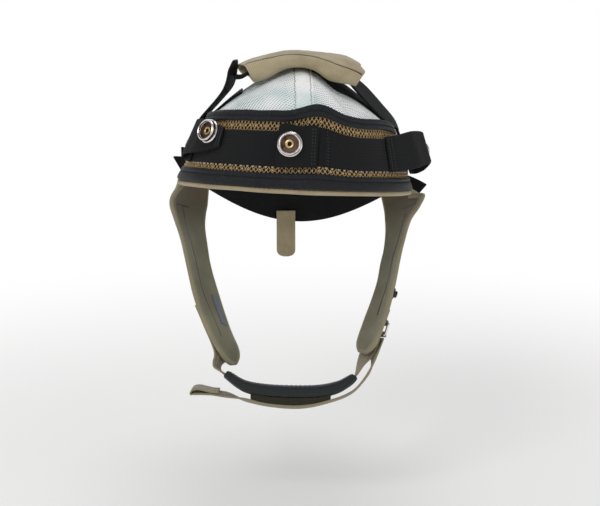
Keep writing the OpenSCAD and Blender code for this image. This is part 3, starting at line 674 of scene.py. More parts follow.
def hookTape():
    n = Nodes("hookTape")
    along, across = n.flatPlace()
    space = n.spacePlace()
    rows = n.wave(across, 1.3)
    hooks = n.wave(along, 1.0)
    fuzz = n.noise(space, 1.4, 4)
    shape = n.calc("MULTIPLY", rows, hooks)
    colour = n.blend(
        n.calc("MULTIPLY_ADD", fuzz, 0.5, n.calc("MULTIPLY", shape, 0.5)), (0.010, 0.010, 0.006),
        (0.06, 0.058, 0.03))
    n.bump(n.calc("ADD", shape, fuzz), 0.5)
    return n.finish(colour, 0.9, sheen=0.2, specular=0.2)


cloth = {
    "tanTwill": twillCloth("tanTwill", (0.56, 0.475, 0.32), (0.19, 0.145, 0.075), (0.38, 0.32, 0.20)),
    "tanRim": twillCloth("tanRim", (0.50, 0.43, 0.29), (0.24, 0.18, 0.10), (0.40, 0.33, 0.21), pitch=0.7),
    # the flaps' twill and rim: darker, greener copies of the tan twill and rim, partly their own olive tone
    # and partly painted shade
    "flapTwillShaded": twillCloth("flapTwillShaded", (0.36, 0.345, 0.235), (0.13, 0.12, 0.07), (0.27, 0.255, 0.165)),
    "flapRimShaded": twillCloth("flapRimShaded", (0.37, 0.335, 0.225), (0.16, 0.135, 0.08), (0.29, 0.255, 0.165),
    pitch=0.7),
    # the lining: a darker copy of the tan twill as painted shade for the shaded inside, with more painted
    # shade towards its folded-in top
    "tanLiningShaded": twillCloth(
        "tanLiningShaded", (0.29, 0.28, 0.19), (0.10, 0.09, 0.052), (0.215, 0.20, 0.13), pitch=0.8,
        shade=(-42, -12, (0.115, 0.085, 0.045))),
    "tanWebbing": ribbedWebbing("tanWebbing", (0.36, 0.31, 0.20), (0.13, 0.105, 0.055),
    streak=(6.6, (0.16, 0.13, 0.07))),
    "blackWebbing": ribbedWebbing("blackWebbing", (0.0075, 0.0082, 0.009), (0.002, 0.0022, 0.0024),
    gloss=0.72, sheen=0.02),
    "padBlack": ribbedWebbing("padBlack", (0.028, 0.033, 0.036), (0.005, 0.006, 0.007), pitch=1.0, ends=1.0,
    gloss=0.58, sheen=0.15),
    "binding": bindingTape(),
    "elastic": knitElastic(),
    "crownMesh": crownMeshCloth("crownMesh", (0.97, 0.985, 0.985), (0.03, 0.075, 0.08)),
    "crownStrip": crownMeshCloth("crownStrip", (0.97, 0.98, 0.975), (0.03, 0.075, 0.08), plain=(8, 19.8)),
    "hookTape": hookTape(),
    # golden brown net threads; the bright end of their noise blend is painted highlight
    "netThread": plainThread("netThread", (0.74, 0.52, 0.24), (0.15, 0.075, 0.03), 0.34),
    "netDots": plainThread("netDots", (0.62, 0.58, 0.46), (0.38, 0.33, 0.22), 0.5),
    "netBacking": plainThread("netBacking", (0.020, 0.015, 0.009), (0.006, 0.005, 0.004), 0.9),
    "blackThread": plainThread("blackThread", (0.010, 0.010, 0.011), (0.004, 0.004, 0.004), 0.45),
    "bindingThread": plainThread("bindingThread", (0.004, 0.004, 0.005), (0.0015, 0.0015, 0.002), 0.8),
    "greyThread": plainThread("greyThread", (0.046, 0.048, 0.051), (0.010, 0.0105, 0.012), 0.7),
    "brownThread": plainThread("brownThread", (0.30, 0.21, 0.16), (0.16, 0.10, 0.07), 0.6),
    "tanThread": plainThread("tanThread", (0.50, 0.43, 0.28), (0.30, 0.25, 0.15), 0.6),
    "seamShade": plainThread("seamShade", (0.06, 0.045, 0.028), (0.025, 0.02, 0.014), 0.9),
    "nickel": platedMetal("nickel", (0.78, 0.75, 0.73), (0.28, 0.24, 0.22), 0.08, 0.7),
    # copper of the socket's cavity, darkened well past its own colour as painted shade for the cavity
    "shadedCopper": platedMetal("shadedCopper", (0.16, 0.10, 0.078), (0.035, 0.02, 0.014), 0.28, 0.9),
    "brass": platedMetal("brass", (0.72, 0.56, 0.24), (0.36, 0.25, 0.08), 0.22, 0.5),
    "darkStud": platedMetal("darkStud", (0.05, 0.045, 0.04), (0.18, 0.16, 0.13), 0.35, 0.4),
    "foam": plainThread("foam", (0.06, 0.06, 0.062), (0.03, 0.03, 0.032), 0.95),
    "patch": twillCloth("patch", (0.20, 0.23, 0.28), (0.09, 0.10, 0.13), (0.15, 0.17, 0.21)),
    "holeShade": plainThread("holeShade", (0.012, 0.009, 0.006), (0.005, 0.004, 0.003), 0.8),
}
print("materials ready,", len(cloth))


def loftPiece(name, rings, closed=True, caps=True):
    # rings of points in millimetres, joined in order, with a map along and round
    bm = bmesh.new()
    layer = bm.loops.layers.uv.new("UVMap")
    grid = [[bm.verts.new(p * mm) for p in ring] for ring in rings]
    size = len(rings[0])
    alongs = [0.0]
    for first, second in zip(rings, rings[1:]):
        step = sum((a - b).length for a, b in zip(first, second)) / size
        alongs.append(alongs[-1] + step)
    middle = rings[len(rings) // 2]
    rounds = [0.0]
    for j in range(size):
        rounds.append(rounds[-1] + (middle[j] - middle[(j + 1) % size]).length)
    for i in range(len(rings) - 1):
        for j in range(size if closed else size - 1):
            k = (j + 1) % size
            face = bm.faces.new((grid[i][j], grid[i + 1][j], grid[i + 1][k], grid[i][k]))
            spots = ((i, j), (i + 1, j), (i + 1, j + 1), (i, j + 1))
            for loop, (a, b) in zip(face.loops, spots):
                loop[layer].uv = (alongs[a], rounds[b])
    if caps and closed:
        bm.faces.new(grid[0])
        bm.faces.new(list(reversed(grid[-1])))
    mesh = bpy.data.meshes.new(name)
    if closed:
        bmesh.ops.recalc_face_normals(bm, faces=bm.faces)
    bm.to_mesh(mesh)
    bm.free()
    piece = bpy.data.objects.new(name, mesh)
    bpy.context.collection.objects.link(piece)
    smoothPiece(piece, 50)
    return piece


def runTube(name, points, radius, sides=10, flat=1.0, up=None):
    # a piping or cord with its own map
    rings = []
    last = len(points) - 1
    side = None
    for i, p in enumerate(points):
        run = (points[min(i + 1, last)] - points[max(i - 1, 0)]).normalized()
        if up is not None:
            side = up[i].cross(run).normalized()
        elif side is None:
            side = (Vector((0, 0, 1)) if abs(run.z) < 0.9 else Vector((1, 0, 0))).cross(run).normalized()
        else:
            side = (side - run * side.dot(run)).normalized()
        lift = run.cross(side)
        turns = [2 * math.pi * j / sides for j in range(sides)]
        rings.append([p + radius * (math.cos(a) * side + flat * math.sin(a) * lift) for a in turns])
    return loftPiece(name, rings)


def routeCloth(name, route, start, end, thickness, off, along, across=6, roundness=0.35, wave=0.0):
    # webbing that follows a route of control stations
    def rule(u, v):
        x = mix(start, end, u)
        s = 2 * v - 1
        ripple = wave * noise.noise(Vector((x * 1.7, s * 0.6, len(name))))
        return routePoint(route, x, s, off + ripple)
    piece = gridPiece(name, rule, along, across)
    return thicken(piece, thickness, roundness)


def bandTape(name, low, high, groove, t0, t1, steps, height):
    # a puffy folded tape with a sewn groove along it
    base = band["trimOff"]
    profile = [
        (low + 0.15, base), (low - 0.1, base + 0.55 * height), (low + 0.5, base + 0.92 * height),
        (mix(low, groove, 0.5), base + 1.05 * height), (groove - 0.75, base + 0.95 * height),
        (groove, base + 0.62 * height), (groove + 0.75, base + 0.95 * height),
        (mix(groove, high, 0.5), base + 1.05 * height), (high - 0.5, base + 0.92 * height),
        (high + 0.1, base + 0.55 * height), (high - 0.15, base),
    ]
    rings = []
    for i in range(steps + 1):
        t = mix(t0, t1, i / steps)
        puff = 1 + 0.12 * noise.noise(Vector((t * 0.35, low, 0)))
        sway = 0.35 * noise.noise(Vector((t * 0.12, high, 3)))
        rings.append([bandPoint(t, v + sway, base + (off - base) * puff) for v, off in profile])
    return loftPiece(name, rings)


brow = {
    "steps": 150, "tapeHeight": 1.45, "lapTurn": -14, "stitchLength": 2.1, "netThread": 0.27,
    "pipingRadius": 1.5, "pipingDrop": -2.3,
}


def alongBand(v, off, t0=-97.5, t1=97.5):
    def place(k):
        t = mix(t0, t1, k)
        return bandPoint(t, v, off), bandNormal(t, v)
    return place


def upBand(t, v0, v1, off):
    def place(k):
        v = mix(v0, v1, k)
        return bandPoint(t, v, off), bandNormal(t, v)
    return place


def makeBrow():
    end = head["end"]
    steps = brow["steps"]
    lining = gridPiece(
        "browLiningCloth", lambda u, v: bandPoint(mix(-end, end, u), mix(-3, 46, v), 0.6), steps, 16)
    thicken(lining, band["lining"])
    dress(lining, cloth["tanLiningShaded"], "cap", ["brow_lining"])

    backing = gridPiece(
        "browNetBacking", lambda u, v: bandPoint(mix(-end, end, u), mix(8, 46, v), 1.75), steps, 12)
    thicken(backing, 0.6)
    dress(backing, cloth["netBacking"], "cap", ["brow_mesh"])

    for name, v0, v1, lean in (("upperNet", 37, 46, 4.6), ("lowerNet", 8, 15, 3.6)):
        bm = bmesh.new()
        count = 92
        for i in range(count):
            for way in (-1, 1):
                t = mix(-end + 3, end - 3, (i + 0.5) / count)
                points = []
                for j in range(6):
                    k = j / 5
                    turn = t + way * lean * (k - 0.5) + 0.3 * noise.noise(Vector((t, j, way)))
                    turn = max(-end, min(end, turn))
                    points.append(bandPoint(turn, mix(v0, v1, k), 2.35 + 0.12 * way))
                tubeInto(bm, points, brow["netThread"], 5)
        dress(meshPiece(name, bm), cloth["netThread"], "cap")
    knots = {
        "upperNetKnots": (41.4, 66, 0.0), "lowerNetKnots": (11.4, 66, 0.0),
        "elasticEdgeKnots": (13.7, 64, 0.3)}
    for name, (v, count, slant) in knots.items():
        look = "netDots" if name == "elasticEdgeKnots" else "netThread"
        seam(name, alongBand(v, 2.75), count, (1.7, 1.5, 1.0), cloth[look], "cap", slant)

    def elasticRule(u, v):
        # gathered where the front tab's seam pulls it together
        t = mix(-end, end, u)
        gather = 0.55 * bell(t, 12.4, 4.5) * math.sin(2 * math.pi * t / 2.6 + 1.2 * math.sin(5 * v))
        return bandPoint(t, mix(band["elasticFrom"], band["elasticTo"], v), 3.3 + max(-0.35, gather))
    elastic = gridPiece("elasticCloth", elasticRule, steps * 2, 14)
    thicken(elastic, band["elastic"], 0.4)
    dress(elastic, cloth["elastic"], "cap", ["elastic_band"])
    for i, t in enumerate((13.4, 14.3, 49.2, 52.6)):
        seam(
            f"elasticStitches{i}", upBand(t, 15, 37, 4.1), 11, (1.5, 0.75, 0.5), cloth["greyThread"],
            "cap", slant=0.7 if i % 2 else -0.7)

    lap = brow["lapTurn"]
    tall = brow["tapeHeight"]
    upper = bandTape("upperBindingTape", band["upperFrom"], band["height"], 48.1, lap - 1.2, end, steps, tall)
    dress(upper, cloth["binding"], "cap", ["upper_binding"])
    lapEnd = bandTape(
        "upperBindingLap", band["upperFrom"], band["height"], 48.1, -end, lap - 1.4, 84, tall * 1.12)
    dress(lapEnd, cloth["binding"], "cap")
    shade = runTube("lapShade", [bandPoint(lap - 1.3, v, 4.0) for v in (44.4, 46, 48, 50, 52)], 0.35, 6)
    dress(shade, cloth["blackThread"], "cap")
    lower = bandTape("lowerBindingTape", 0, band["lowerBinding"], 5.9, -end, end, steps, tall)
    dress(lower, cloth["binding"], "cap", ["lower_binding"])
    for name, v in (("upperBindingStitches", 48.1), ("lowerBindingStitches", 5.9)):
        seam(
            name, alongBand(v, 3.66), 104, (brow["stitchLength"], 0.95, 0.6), cloth["bindingThread"],
            "cap")

    drop = brow["pipingDrop"]
    rim = []
    for i in range(121):
        t = mix(-end, end, i / 120)
        sag = 0.7 * noise.noise(Vector((t * 0.05, 2, 1)))
        rim.append(bandPoint(t, drop + sag * 0.6, 0.9))
    piping = runTube("browPiping", rim, brow["pipingRadius"], 12)
    dress(piping, cloth["tanRim"], "cap")
    seam(
        "browPipingStitches", alongBand(drop + 1.2, 1.9), 88, (1.8, 0.5, 0.4), cloth["tanThread"],
        "cap")


makeBrow()
print("brow band ready")

crown = {"grid": 116, "stripWidth": 22, "stripRim": 0.97, "stripOff": 0.7, "backRows": 30}


def makeCrown():
    fine = crown["grid"]
    cap = gridPiece("crownCloth", lambda u, v: squareToDome(2 * u - 1, 2 * v - 1, 0.45), fine, fine)
    thicken(cap, band["mesh"])
    dress(cap, cloth["crownMesh"], "cap", ["crown_mesh"])

    def stripRule(u, v):
        x = (u - 0.5) * crown["stripWidth"] / head["halfWidth"]
        y = mix(-crown["stripRim"], crown["stripRim"], v)
        r = min(crown["stripRim"], math.hypot(x, y))
        bow = 0.7 * (1 - (2 * u - 1) ** 2)
        return domePoint(r, math.degrees(math.atan2(x, -y)), crown["stripOff"] + bow)
    strip = gridPiece("centerStripCloth", stripRule, 14, 110)
    thicken(strip, band["mesh"])
    dress(strip, cloth["crownStrip"], "cap", ["crown_center_strip"])
    for i, x in enumerate((-0.14, 0.4)):
        def place(k, x=x):
            p = stripRule(0.5 + x, k)
            side = stripRule(0.5 + x + 0.03, k) - stripRule(0.5 + x - 0.03, k)
            run = stripRule(0.5 + x, min(1, k + 0.01)) - stripRule(0.5 + x, max(0, k - 0.01))
            out = side.cross(run).normalized()
            return p + out * 0.5, out
        seam(
            f"stripStitches{i}", place, 92, (1.2, 0.7, 0.45), cloth["brownThread"], "cap",
            0.25, scatter=0.4)

    def backRule(u, v):
        tuck = 2.6 * bell(u, 1, 0.07)
        return backPoint(mix(98.6, 261.4, u), mix(0.99, 0.02, v), band["meshOff"] + 0.45 - tuck)
    back = gridPiece("backPanelCloth", backRule, 90, crown["backRows"])
    thicken(back, band["mesh"])
    dress(back, cloth["crownMesh"], "cap", ["back_panel"])

    def backSeam(k):
        t = mix(99, 261, k)
        p = backPoint(t, 0.05, band["meshOff"] + 1.3)
        return p, (p - Vector((0, 0, p.z))).normalized()
    seam("backRimStitches", backSeam, 84, (2.0, 0.6, 0.45), cloth["greyThread"], "cap")


makeCrown()
print("crown ready")

tabs = {
    "front": {"root": 9, "end": -9, "stand": 2.6},
    "left": {
        "root": -40, "end": -66,
        "steps": [(0, 0.4, 0, 12), (0.2, 2.4, 1.5, 9), (0.5, 5, 4, 6), (0.8, 6, 4, 4.6), (0.98, 5.6, 3, 2.6),
                  (1.03, 4, 2, 1), (0.96, 2.4, 1, 0), (0.82, 2.2, 0, 0)],
    },
    "right": {
        "root": 50, "end": 74,
        "steps": [(0, 0.4, 0, 0), (0.3, 4.6, 1, 0.4), (0.7, 11.2, 2.8, 1.2), (1.05, 16, 2, 2.6),
        (1.2, 17.6, -0.2, 3.4),
                  (1.3, 16, -1.4, 1), (1.35, 12.2, -1.6, -1.6), (1.4, 8, -1, -2.6), (1.44, 4.6, 0, -2.6),
                  (1.4, 2.5, 0, -1.6), (1.26, 2.4, 0, -0.6)],
    },
    "stitch": (1.7, 0.7, 0.5),
}


def tabRoute(tab, evenLift=None):
    route = []
    for share, off, rise, lift in tab["steps"]:
        lift = lift if evenLift is None else evenLift
        t = mix(tab["root"], tab["end"], share)
        low = bandPoint(t, 13 + lift, band["tabOff"] + off)
        high = bandPoint(t, 39 + rise, band["tabOff"] + off)
        route.append((*((low + high) / 2), *((high - low) / 2)))
    return route


def routeNormal(route, x):
    side = routePoint(route, x, 0, 1) - routePoint(route, x, 0, 0)
    return side.normalized()


def makeTabs():
    def frontRule(u, v, lift=0.8):
        k = u
        t = mix(tabs["front"]["end"], tabs["front"]["root"], k)
        off = band["tabOff"] + tabs["front"]["stand"] * ease((1 - k) * 3)
        corner = 0.9 * (max(0, 0.1 - k) / 0.1) ** 2
        low = 13 + corner
        high = 39 + 4 * bell(t, -6, 5) - corner
        bow = 0.25 * noise.noise(Vector((u * 3, v * 3, 1)))
        return bandPoint(t, mix(low, high, v), off + lift + bow)
    front = gridPiece("frontTabWebbing", frontRule, 40, 30)
    thicken(front, band["webbing"])
    dress(front, cloth["blackWebbing"], "front_tab_body", ["front_tab"])

    def frontSeam(u):
        def place(k):
            v = mix(0.06, 0.94, k)
            out = bandNormal(mix(-9, 9, u), mix(13, 39, v))
            return frontRule(u, v, 1.65), out
        return place
    for i, u in enumerate((0.93, 0.86)):
        seam(
            f"frontTabStitches{i}", frontSeam(u), 11, tabs["stitch"], cloth["greyThread"],
            "front_tab_body", 0.5)

    for side, lift in (("left", -0.8), ("right", 0.8)):
        route = tabRoute(tabs[side])
        node = f"{side}_tab"
        piece = routeCloth(f"{side}TabWebbing", route, 0, len(route) - 1, 1.6, lift, 64, 20, 0.35, 0.5)
        dress(piece, cloth["blackWebbing"], f"{side}_tab_body", [node])
        way = -1 if side == "left" else 1
        for i, x in enumerate((0.22, 0.5)):
            def place(k, x=x):
                out = way * routeNormal(route, x)
                return routePoint(route, x, mix(-0.9, 0.9, k), way * 1.65), out
            seam(
                f"{side}TabStitches{i}", place, 11, tabs["stitch"], cloth["greyThread"],
                f"{side}_tab_body", 0.5)
        for i, s in enumerate((-0.86, 0.86)):
            def place(k, s=s):
                x = mix(0.5, 2.6, k)
                return routePoint(route, x, s, way * 1.65), way * routeNormal(route, x)
            seam(
                f"{side}TabEdgeStitches{i}", place, 9, (1.5, 0.5, 0.4), cloth["blackThread"],
                f"{side}_tab_body")
    return tabRoute(tabs["left"], 5.0), tabRoute(tabs["right"])


leftRoute, rightRoute = makeTabs()
print("tabs ready")

snap = {
    "flange": 8.5, "bore": 6.0, "cap": 6.0, "steps": 64,
}


def routeSeat(route, x, up, way):
    out = way * routeNormal(route, x)
    half = Vector(curveAt(route, x)[3:])
    return routePoint(route, x, 0, 0) + up * half + 1.6 * out, out


def lathePiece(name, profile, seat, material, body, nodes=()):
    # a profile of radius and height, turned round the seat's axis
    place, out = seat
    bpy.ops.object.select_all(action="DESELECT")
    bpy.ops.mesh.primitive_circle_add(vertices=len(profile), radius=1, fill_type="NOTHING")
    piece = bpy.context.object
    piece.name = name
    mesh = piece.data
    for vertex, (radius, height) in zip(mesh.vertices, profile):
        vertex.co = Vector((radius, 0, height)) * mm
    applyModifier(
        piece, "SCREW", steps=snap["steps"], render_steps=snap["steps"], use_merge_vertices=True,
        merge_threshold=1e-6, use_smooth_shade=True)
    bpy.ops.object.mode_set(mode="EDIT")
    bpy.ops.mesh.select_all(action="SELECT")
    bpy.ops.mesh.remove_doubles(threshold=1e-6)
    bpy.ops.mesh.normals_make_consistent(inside=False)
    bpy.ops.object.mode_set(mode="OBJECT")
    turn = out.to_track_quat("Z", "Y").to_matrix().to_4x4()
    mesh.transform(Matrix.Translation(place * mm) @ turn)
    smoothPiece(piece, 35)
    return dress(piece, material, body, nodes)


def makeSnap(side, seat):
    body = f"{side}_tab_body"
    bore, wall = snap["bore"], 1.7
    shell = [
        (3.15, 0.25), (snap["flange"] - 0.4, 0.25), (snap["flange"], 0.5), (snap["flange"] + 0.05, 0.9),
        (snap["flange"] - 0.35, 1.35), (snap["flange"] - 0.9, 1.45), (bore + wall + 0.5, 1.4),
        (bore + wall + 0.15, 1.7), (bore + wall, 2.4), (bore + wall + 0.15, 3.6), (bore + wall - 0.05, 4.3),
        (bore + wall - 0.5, 4.78), (bore + 0.95, 4.85), (bore + 0.5, 4.6), (bore + 0.35, 4.1),
        (bore + 0.6, 3.2),
        (bore + 0.65, 2.2), (bore + 0.3, 1.5), (3.15, 1.45),
    ]
    lathePiece(f"{side}SnapShell", shell, seat, cloth["nickel"], body, [f"{side}_snap_socket"])
    # the cavity's lining, in copper darkened with painted shade
    liner = [
        (3.2, 1.47), (bore + 0.2, 1.47), (bore + 0.5, 1.9), (bore + 0.52, 3.9), (bore + 0.3, 4.15),
        (bore + 0.22, 3.9),
        (bore + 0.2, 2.2), (bore - 0.15, 1.66), (3.2, 1.6),
    ]
    lathePiece(f"{side}SnapLiner", liner, seat, cloth["shadedCopper"], body)
    spring = [
        (bore + 0.42 + 0.4 * math.cos(a),
        3.15 + 0.4 * math.sin(a)) for a in (i * math.pi / 6 for i in range(12))]
    lathePiece(
        f"{side}SnapSpring", spring, seat, cloth["nickel"], body, [f"{side}_snap_spring"])
    back = -2.3
    button = [
        (0.0, back - 1.35), (3.5, back - 1.4), (5.2, back - 1.3), (snap["cap"] - 0.1, back - 0.8),
        (snap["cap"], back - 0.3),
        (snap["cap"] - 0.3, back), (2.4, back), (2.4, 1.45), (3.0, 1.75), (3.05, 2.2), (2.85, 2.55),
        (2.4, 2.7),
        (1.9, 2.65), (1.6, 2.4), (1.5, 2.0), (1.5, 0.3), (0.0, 0.3),
    ]
    lathePiece(f"{side}SnapButton", button, seat, cloth["brass"], body, [f"{side}_snap_button"])
    hole = [(0.0, 0.35), (1.45, 0.35), (1.45, 0.6), (0.0, 0.6)]
    lathePiece(f"{side}SnapHole", hole, seat, cloth["holeShade"], body)


frontSeat = (bandPoint(-3.2, 28.4, 4.25 + 2.6 + 1.6), bandNormal(-3.2, 28.4))
makeSnap("front", frontSeat)
makeSnap("left", routeSeat(leftRoute, 4 / 3, 0.42, -1))
makeSnap("right", routeSeat(rightRoute, 19 / 3, 0.15, 1))
print("snaps ready")

flap = {
    "gap": 0.25, "from": 90, "to": 124, "rim": 1.9,
    "leftFront": [
        (-93.8, -8, 2.5), (-95.2, -9, -5.5), (-92.2, -10, -16), (-87, -13, -32), (-82, -19, -53),
        (-77.5, -25, -71), (-72, -30, -85.5), (-63, -36, -104), (-55, -38, -118), (-50, -37, -123.5)],
    "leftBack": [
        (-74, 50, -17), (-75, 42, -24), (-75, 33, -33), (-72.5, 22, -45), (-69, 11, -60),
        (-61.5, -2, -81), (-53, -14, -103), (-46.5, -21, -116), (-45, -26, -121), (-46.5, -31, -124.5)],
    "rightFront": [
        (98.8, -7.5, 3), (95, -9, -7), (88.6, -10, -17), (84, -13, -32), (80.5, -17, -46),
        (77, -22, -63), (73, -28, -78), (68.3, -35, -91), (61.2, -42, -106.5), (55, -42, -113)],
    "rightBack": [
        (75, 50, -20), (75.5, 42, -26), (75.5, 31, -36), (73.5, 20, -48), (70.5, 13, -58),
        (67.5, 4, -70), (62, -6, -83.5), (56.3, -15, -95.5), (50.2, -26, -109.5), (50.2, -34, -114)],
}


def flapTop(side, a):
    t = side * mix(flap["from"], flap["to"], a)
    rim = lowerEdge(t)
    blendIn = ease((abs(t) - 98) / 4)
    low = mix(rim.z - 3, rearTop(t) - head["rearBand"], blendIn)
    return Vector((rim.x + side * 1.6, rim.y + 0.8, low - 0.6))


def flapLine(side, row, a):
    # row runs from 0 at the top to 20 at the tip, as in the frame
    front = flap["leftFront"] if side < 0 else flap["rightFront"]
    back = flap["leftBack"] if side < 0 else flap["rightBack"]
    first = Vector(curveAt([tuple(flapTop(side, 0))] + front, row / 2))
    second = Vector(curveAt([tuple(flapTop(side, 1))] + back, row / 2))
    chord = second - first
    out = Vector((chord.y, -chord.x, 0)).normalized() * side
    follow = max(0, 1 - row / 4)
    bulge = 6 * (1 - row / 20) ** 1.5 + 0.6
    top = flapTop(side, a) - flapTop(side, 0).lerp(flapTop(side, 1), a)
    return first.lerp(second, a) + out * bulge * sinDeg(180 * a) + top * follow


def flapFace(side, row, a, off):
    down = flapLine(side, min(row + 0.5, 20), a) - flapLine(side, max(row - 0.5, 0), a)
    back = flapLine(side, row, a + 0.05) - flapLine(side, row, a - 0.05)
    return flapLine(side, row, a) + off * side * down.cross(back).normalized()


def flapOut(side, row, a):
    return (flapFace(side, row, a, 1) - flapFace(side, row, a, 0)).normalized()


def makeFlap(side, word):
    def rule(off, ripple):
        def place(u, v):
            row = mix(20, 0, v)
            a = u if side > 0 else 1 - u
            soft = ripple * noise.noise(Vector((row * 0.22, a * 1.6, side)))
            return flapFace(side, row, a, off + soft)
        return place
    outer = gridPiece(f"{word}FlapTwill", rule(-0.8, 0.3), 26, 72)
    thicken(outer, 1.6, 0.3)
    dress(outer, cloth["flapTwillShaded"], "cap", [f"{word}_ear_flap"])
    inner = gridPiece(f"{word}FlapLiningCloth", rule(-2.65, 0.3), 26, 72)
    thicken(inner, 1.6, 0.3)
    dress(inner, cloth["tanLiningShaded"], "cap", [f"{word}_flap_lining"])

    edge = [(row, 0.0) for row in (i * 0.5 for i in range(41))]
    edge += [(20.0, a) for a in (0.35, 0.65)]
    edge += [(20 - i * 0.5, 1.0) for i in range(41)]
    points = [flapFace(side, row, a, -1.72) for row, a in edge]
    rim = runTube(f"{word}FlapRim", points, flap["rim"], 12, 0.95)
    dress(rim, cloth["flapRimShaded"], "cap")

    def frontSeam(k):
        row = mix(0.6, 19, k)
        return flapFace(side, row, 0.06, 0.1), flapOut(side, row, 0.06)

    def backSeam(k):
        row = mix(0.6, 18.6, k)
        return flapFace(side, row, 0.93, 0.1), flapOut(side, row, 0.93)

    def innerSeam(k):
        row = mix(0.6, 19, k)
        return flapFace(side, row, 0.07, -3.5), -flapOut(side, row, 0.07)
    crease = [
        flapFace(side, mix(3.5, 15.5, i / 40), 0.42 + 0.03 * math.sin(i * 0.4), -3.4) for i in range(41)]
    fold = runTube(f"{word}FlapCrease", crease, 0.34, 6)
    dress(fold, cloth["seamShade"], "cap")
    fold = runTube(
        f"{word}FlapTuck", [flapFace(side, 3.6, mix(0.2, 0.62, i / 16), -3.4) for i in range(17)], 0.36, 6)
    dress(fold, cloth["seamShade"], "cap")
    for name, place in (("Front", frontSeam), ("Back", backSeam), ("Inner", innerSeam)):
        seam(
            f"{word}Flap{name}Stitches", place, 52, (2.0, 0.55, 0.45), cloth["tanThread"],
            "cap")


makeFlap(-1, "left")
makeFlap(1, "right")


def makePatch():
    def rule(u, v):
        return flapFace(-1, mix(14, 12, v), mix(0.72, 0.9, u), -4.1)
    patch = gridPiece("flapPatchCloth", rule, 14, 16)
    thicken(patch, 0.9)
    dress(patch, cloth["patch"], "cap", ["flap_patch"])
    seat = (flapFace(1, 13, 0.12, 0.25), flapOut(1, 13, 0.12))
    stud = [
        (0, 0), (4.3, 0), (4.6, 0.3), (4.5, 0.7), (3.9, 1.0), (2.8, 1.1), (2.4, 1.5), (2.45, 2.0),
        (2.75, 2.5),
        (2.7, 3.0), (2.2, 3.3), (1.2, 3.42), (0, 3.45),
    ]
    lathePiece("flapStudTurned", stud, seat, cloth["darkStud"], "cap", ["flap_stud"])


makePatch()
print("flaps ready")

loop = {
    "low": (61.22, -25.89, -103.62), "across": (-0.599, 0.7675, -0.2284),
    "out": (0.724, 0.397, -0.564), "up": (0.342, 0.503, 0.794), "halfWidth": 11.5, "rise": 10.6, "wire": 1.0,
    "bend": 2.0, "keeperWidth": 17, "keeperHeight": 11, "fold": 1.85,
}


def loopPoint(x, y, z):
    return Vector(loop["low"]) + x * Vector(loop["out"]) + y * Vector(loop["across"]) + z * Vector(loop["up"])


def makeLoop():
    half, rise, bend = loop["halfWidth"], loop["rise"], loop["bend"]
    points = []
    corners = ((half, 0, 270), (half, rise, 0), (-half, rise, 90), (-half, 0, 180))
    for y, z, start in corners:
        middle = (y - math.copysign(bend, y), bend if z == 0 else rise - bend)
        for i in range(9):
            a = start + 90 * i / 8
            points.append((middle[0] + bend * cosDeg(a), middle[1] + bend * sinDeg(a)))
    rings = []
    count = len(points)
    for i, (y, z) in enumerate(points):
        before, after = points[i - 1], points[(i + 1) % count]
        run = Vector((0, after[0] - before[0], after[1] - before[1])).normalized()
        side = Vector((1, 0, 0))
        lift = run.cross(side)
        ring = []
        for j in range(14):
            a = 2 * math.pi * j / 14
            q = Vector((0, y, z)) + loop["wire"] * (math.cos(a) * side + math.sin(a) * lift)
            ring.append(loopPoint(*q))
        rings.append(ring)
    rings.append(rings[0])
    wire = loftPiece("strapLoopWire", rings, caps=False)
    alone(wire)
    bpy.ops.object.mode_set(mode="EDIT")
    bpy.ops.mesh.select_all(action="SELECT")
    bpy.ops.mesh.remove_doubles(threshold=1e-6)
    bpy.ops.mesh.normals_make_consistent(inside=False)
    bpy.ops.object.mode_set(mode="OBJECT")
    dress(wire, cloth["nickel"], "loop_body", ["strap_loop"])

    inner = loop["wire"] + 0.35
    outer = inner + 1.3
    middle = (inner + outer) / 2
    path = [(-middle, loop["keeperHeight"] - 0.4), (-middle, 6), (-middle, 2.5)]
    path += [(-middle * cosDeg(a), middle * sinDeg(a)) for a in range(0, -181, -20)]
    path += [(middle * cosDeg(a), middle * sinDeg(a)) for a in range(20, 161, 20)]
    path += [(-middle + 0.9, 2.6), (-middle + 0.95, 6), (-middle + 0.95, loop["keeperHeight"] - 0.5)]

    def rule(u, v):
        x, z = curveAt(path, u * (len(path) - 1))
        return loopPoint(x, (v - 0.5) * loop["keeperWidth"], loop["rise"] + z)
    keeper = gridPiece("loopKeeperWebbing", rule, 60, 12)
    thicken(keeper, 1.1)
    dress(keeper, cloth["tanWebbing"], "cap", ["loop_keeper"])
    for i, z in enumerate((5.2, 9.2)):
        def place(k, z=z):
            out = Vector(loop["out"])
            return loopPoint(-middle + 1.75, mix(-7.5, 7.5, k), loop["rise"] + z), out
        seam(f"keeperStitches{i}", place, 9, (1.5, 0.5, 0.4), cloth["tanThread"], "cap")


makeLoop()
print("strap loop ready")

pad = {
    "arcX": 1.0, "radius": 66, "middleY": -4, "depth": 52, "thickness": 11, "frontSpan": 31.17,
    "backSpan": 39.27,
    "turn": 2.5, "sleeve": 1.4, "strapHalf": 12.5, "strapY": -3, "rows": 72, "round": 56,
}
pad["arcZ"] = head["peak"] + 0.9 + 0.25 + 0.5 + 0.3 - pad["radius"]


def arcPoint(angle, y, r):
    return Vector((pad["arcX"] + r * sinDeg(angle), y, pad["arcZ"] + r * cosDeg(angle)))


def padPoint(k, y, h):
    share = y / pad["depth"] + 0.5
    span = mix(pad["frontSpan"], pad["backSpan"], share)
    return arcPoint(pad["turn"] + k * span, pad["middleY"] + y, pad["radius"] + h)


padEdge = [(0.40,), (0.385,), (0.368,), (0.36,), (0.366,), (0.386,), (0.408,), (0.436,), (0.472,)]


def padDroop(k):
    # how far the lower front edge of the sleeve hangs
    return 7.5 * bell(k, -0.86, 0.42) + 4.2 * bell(k, 0.95, 0.32) + 4.6 * bell(k, 0.6, 0.28)


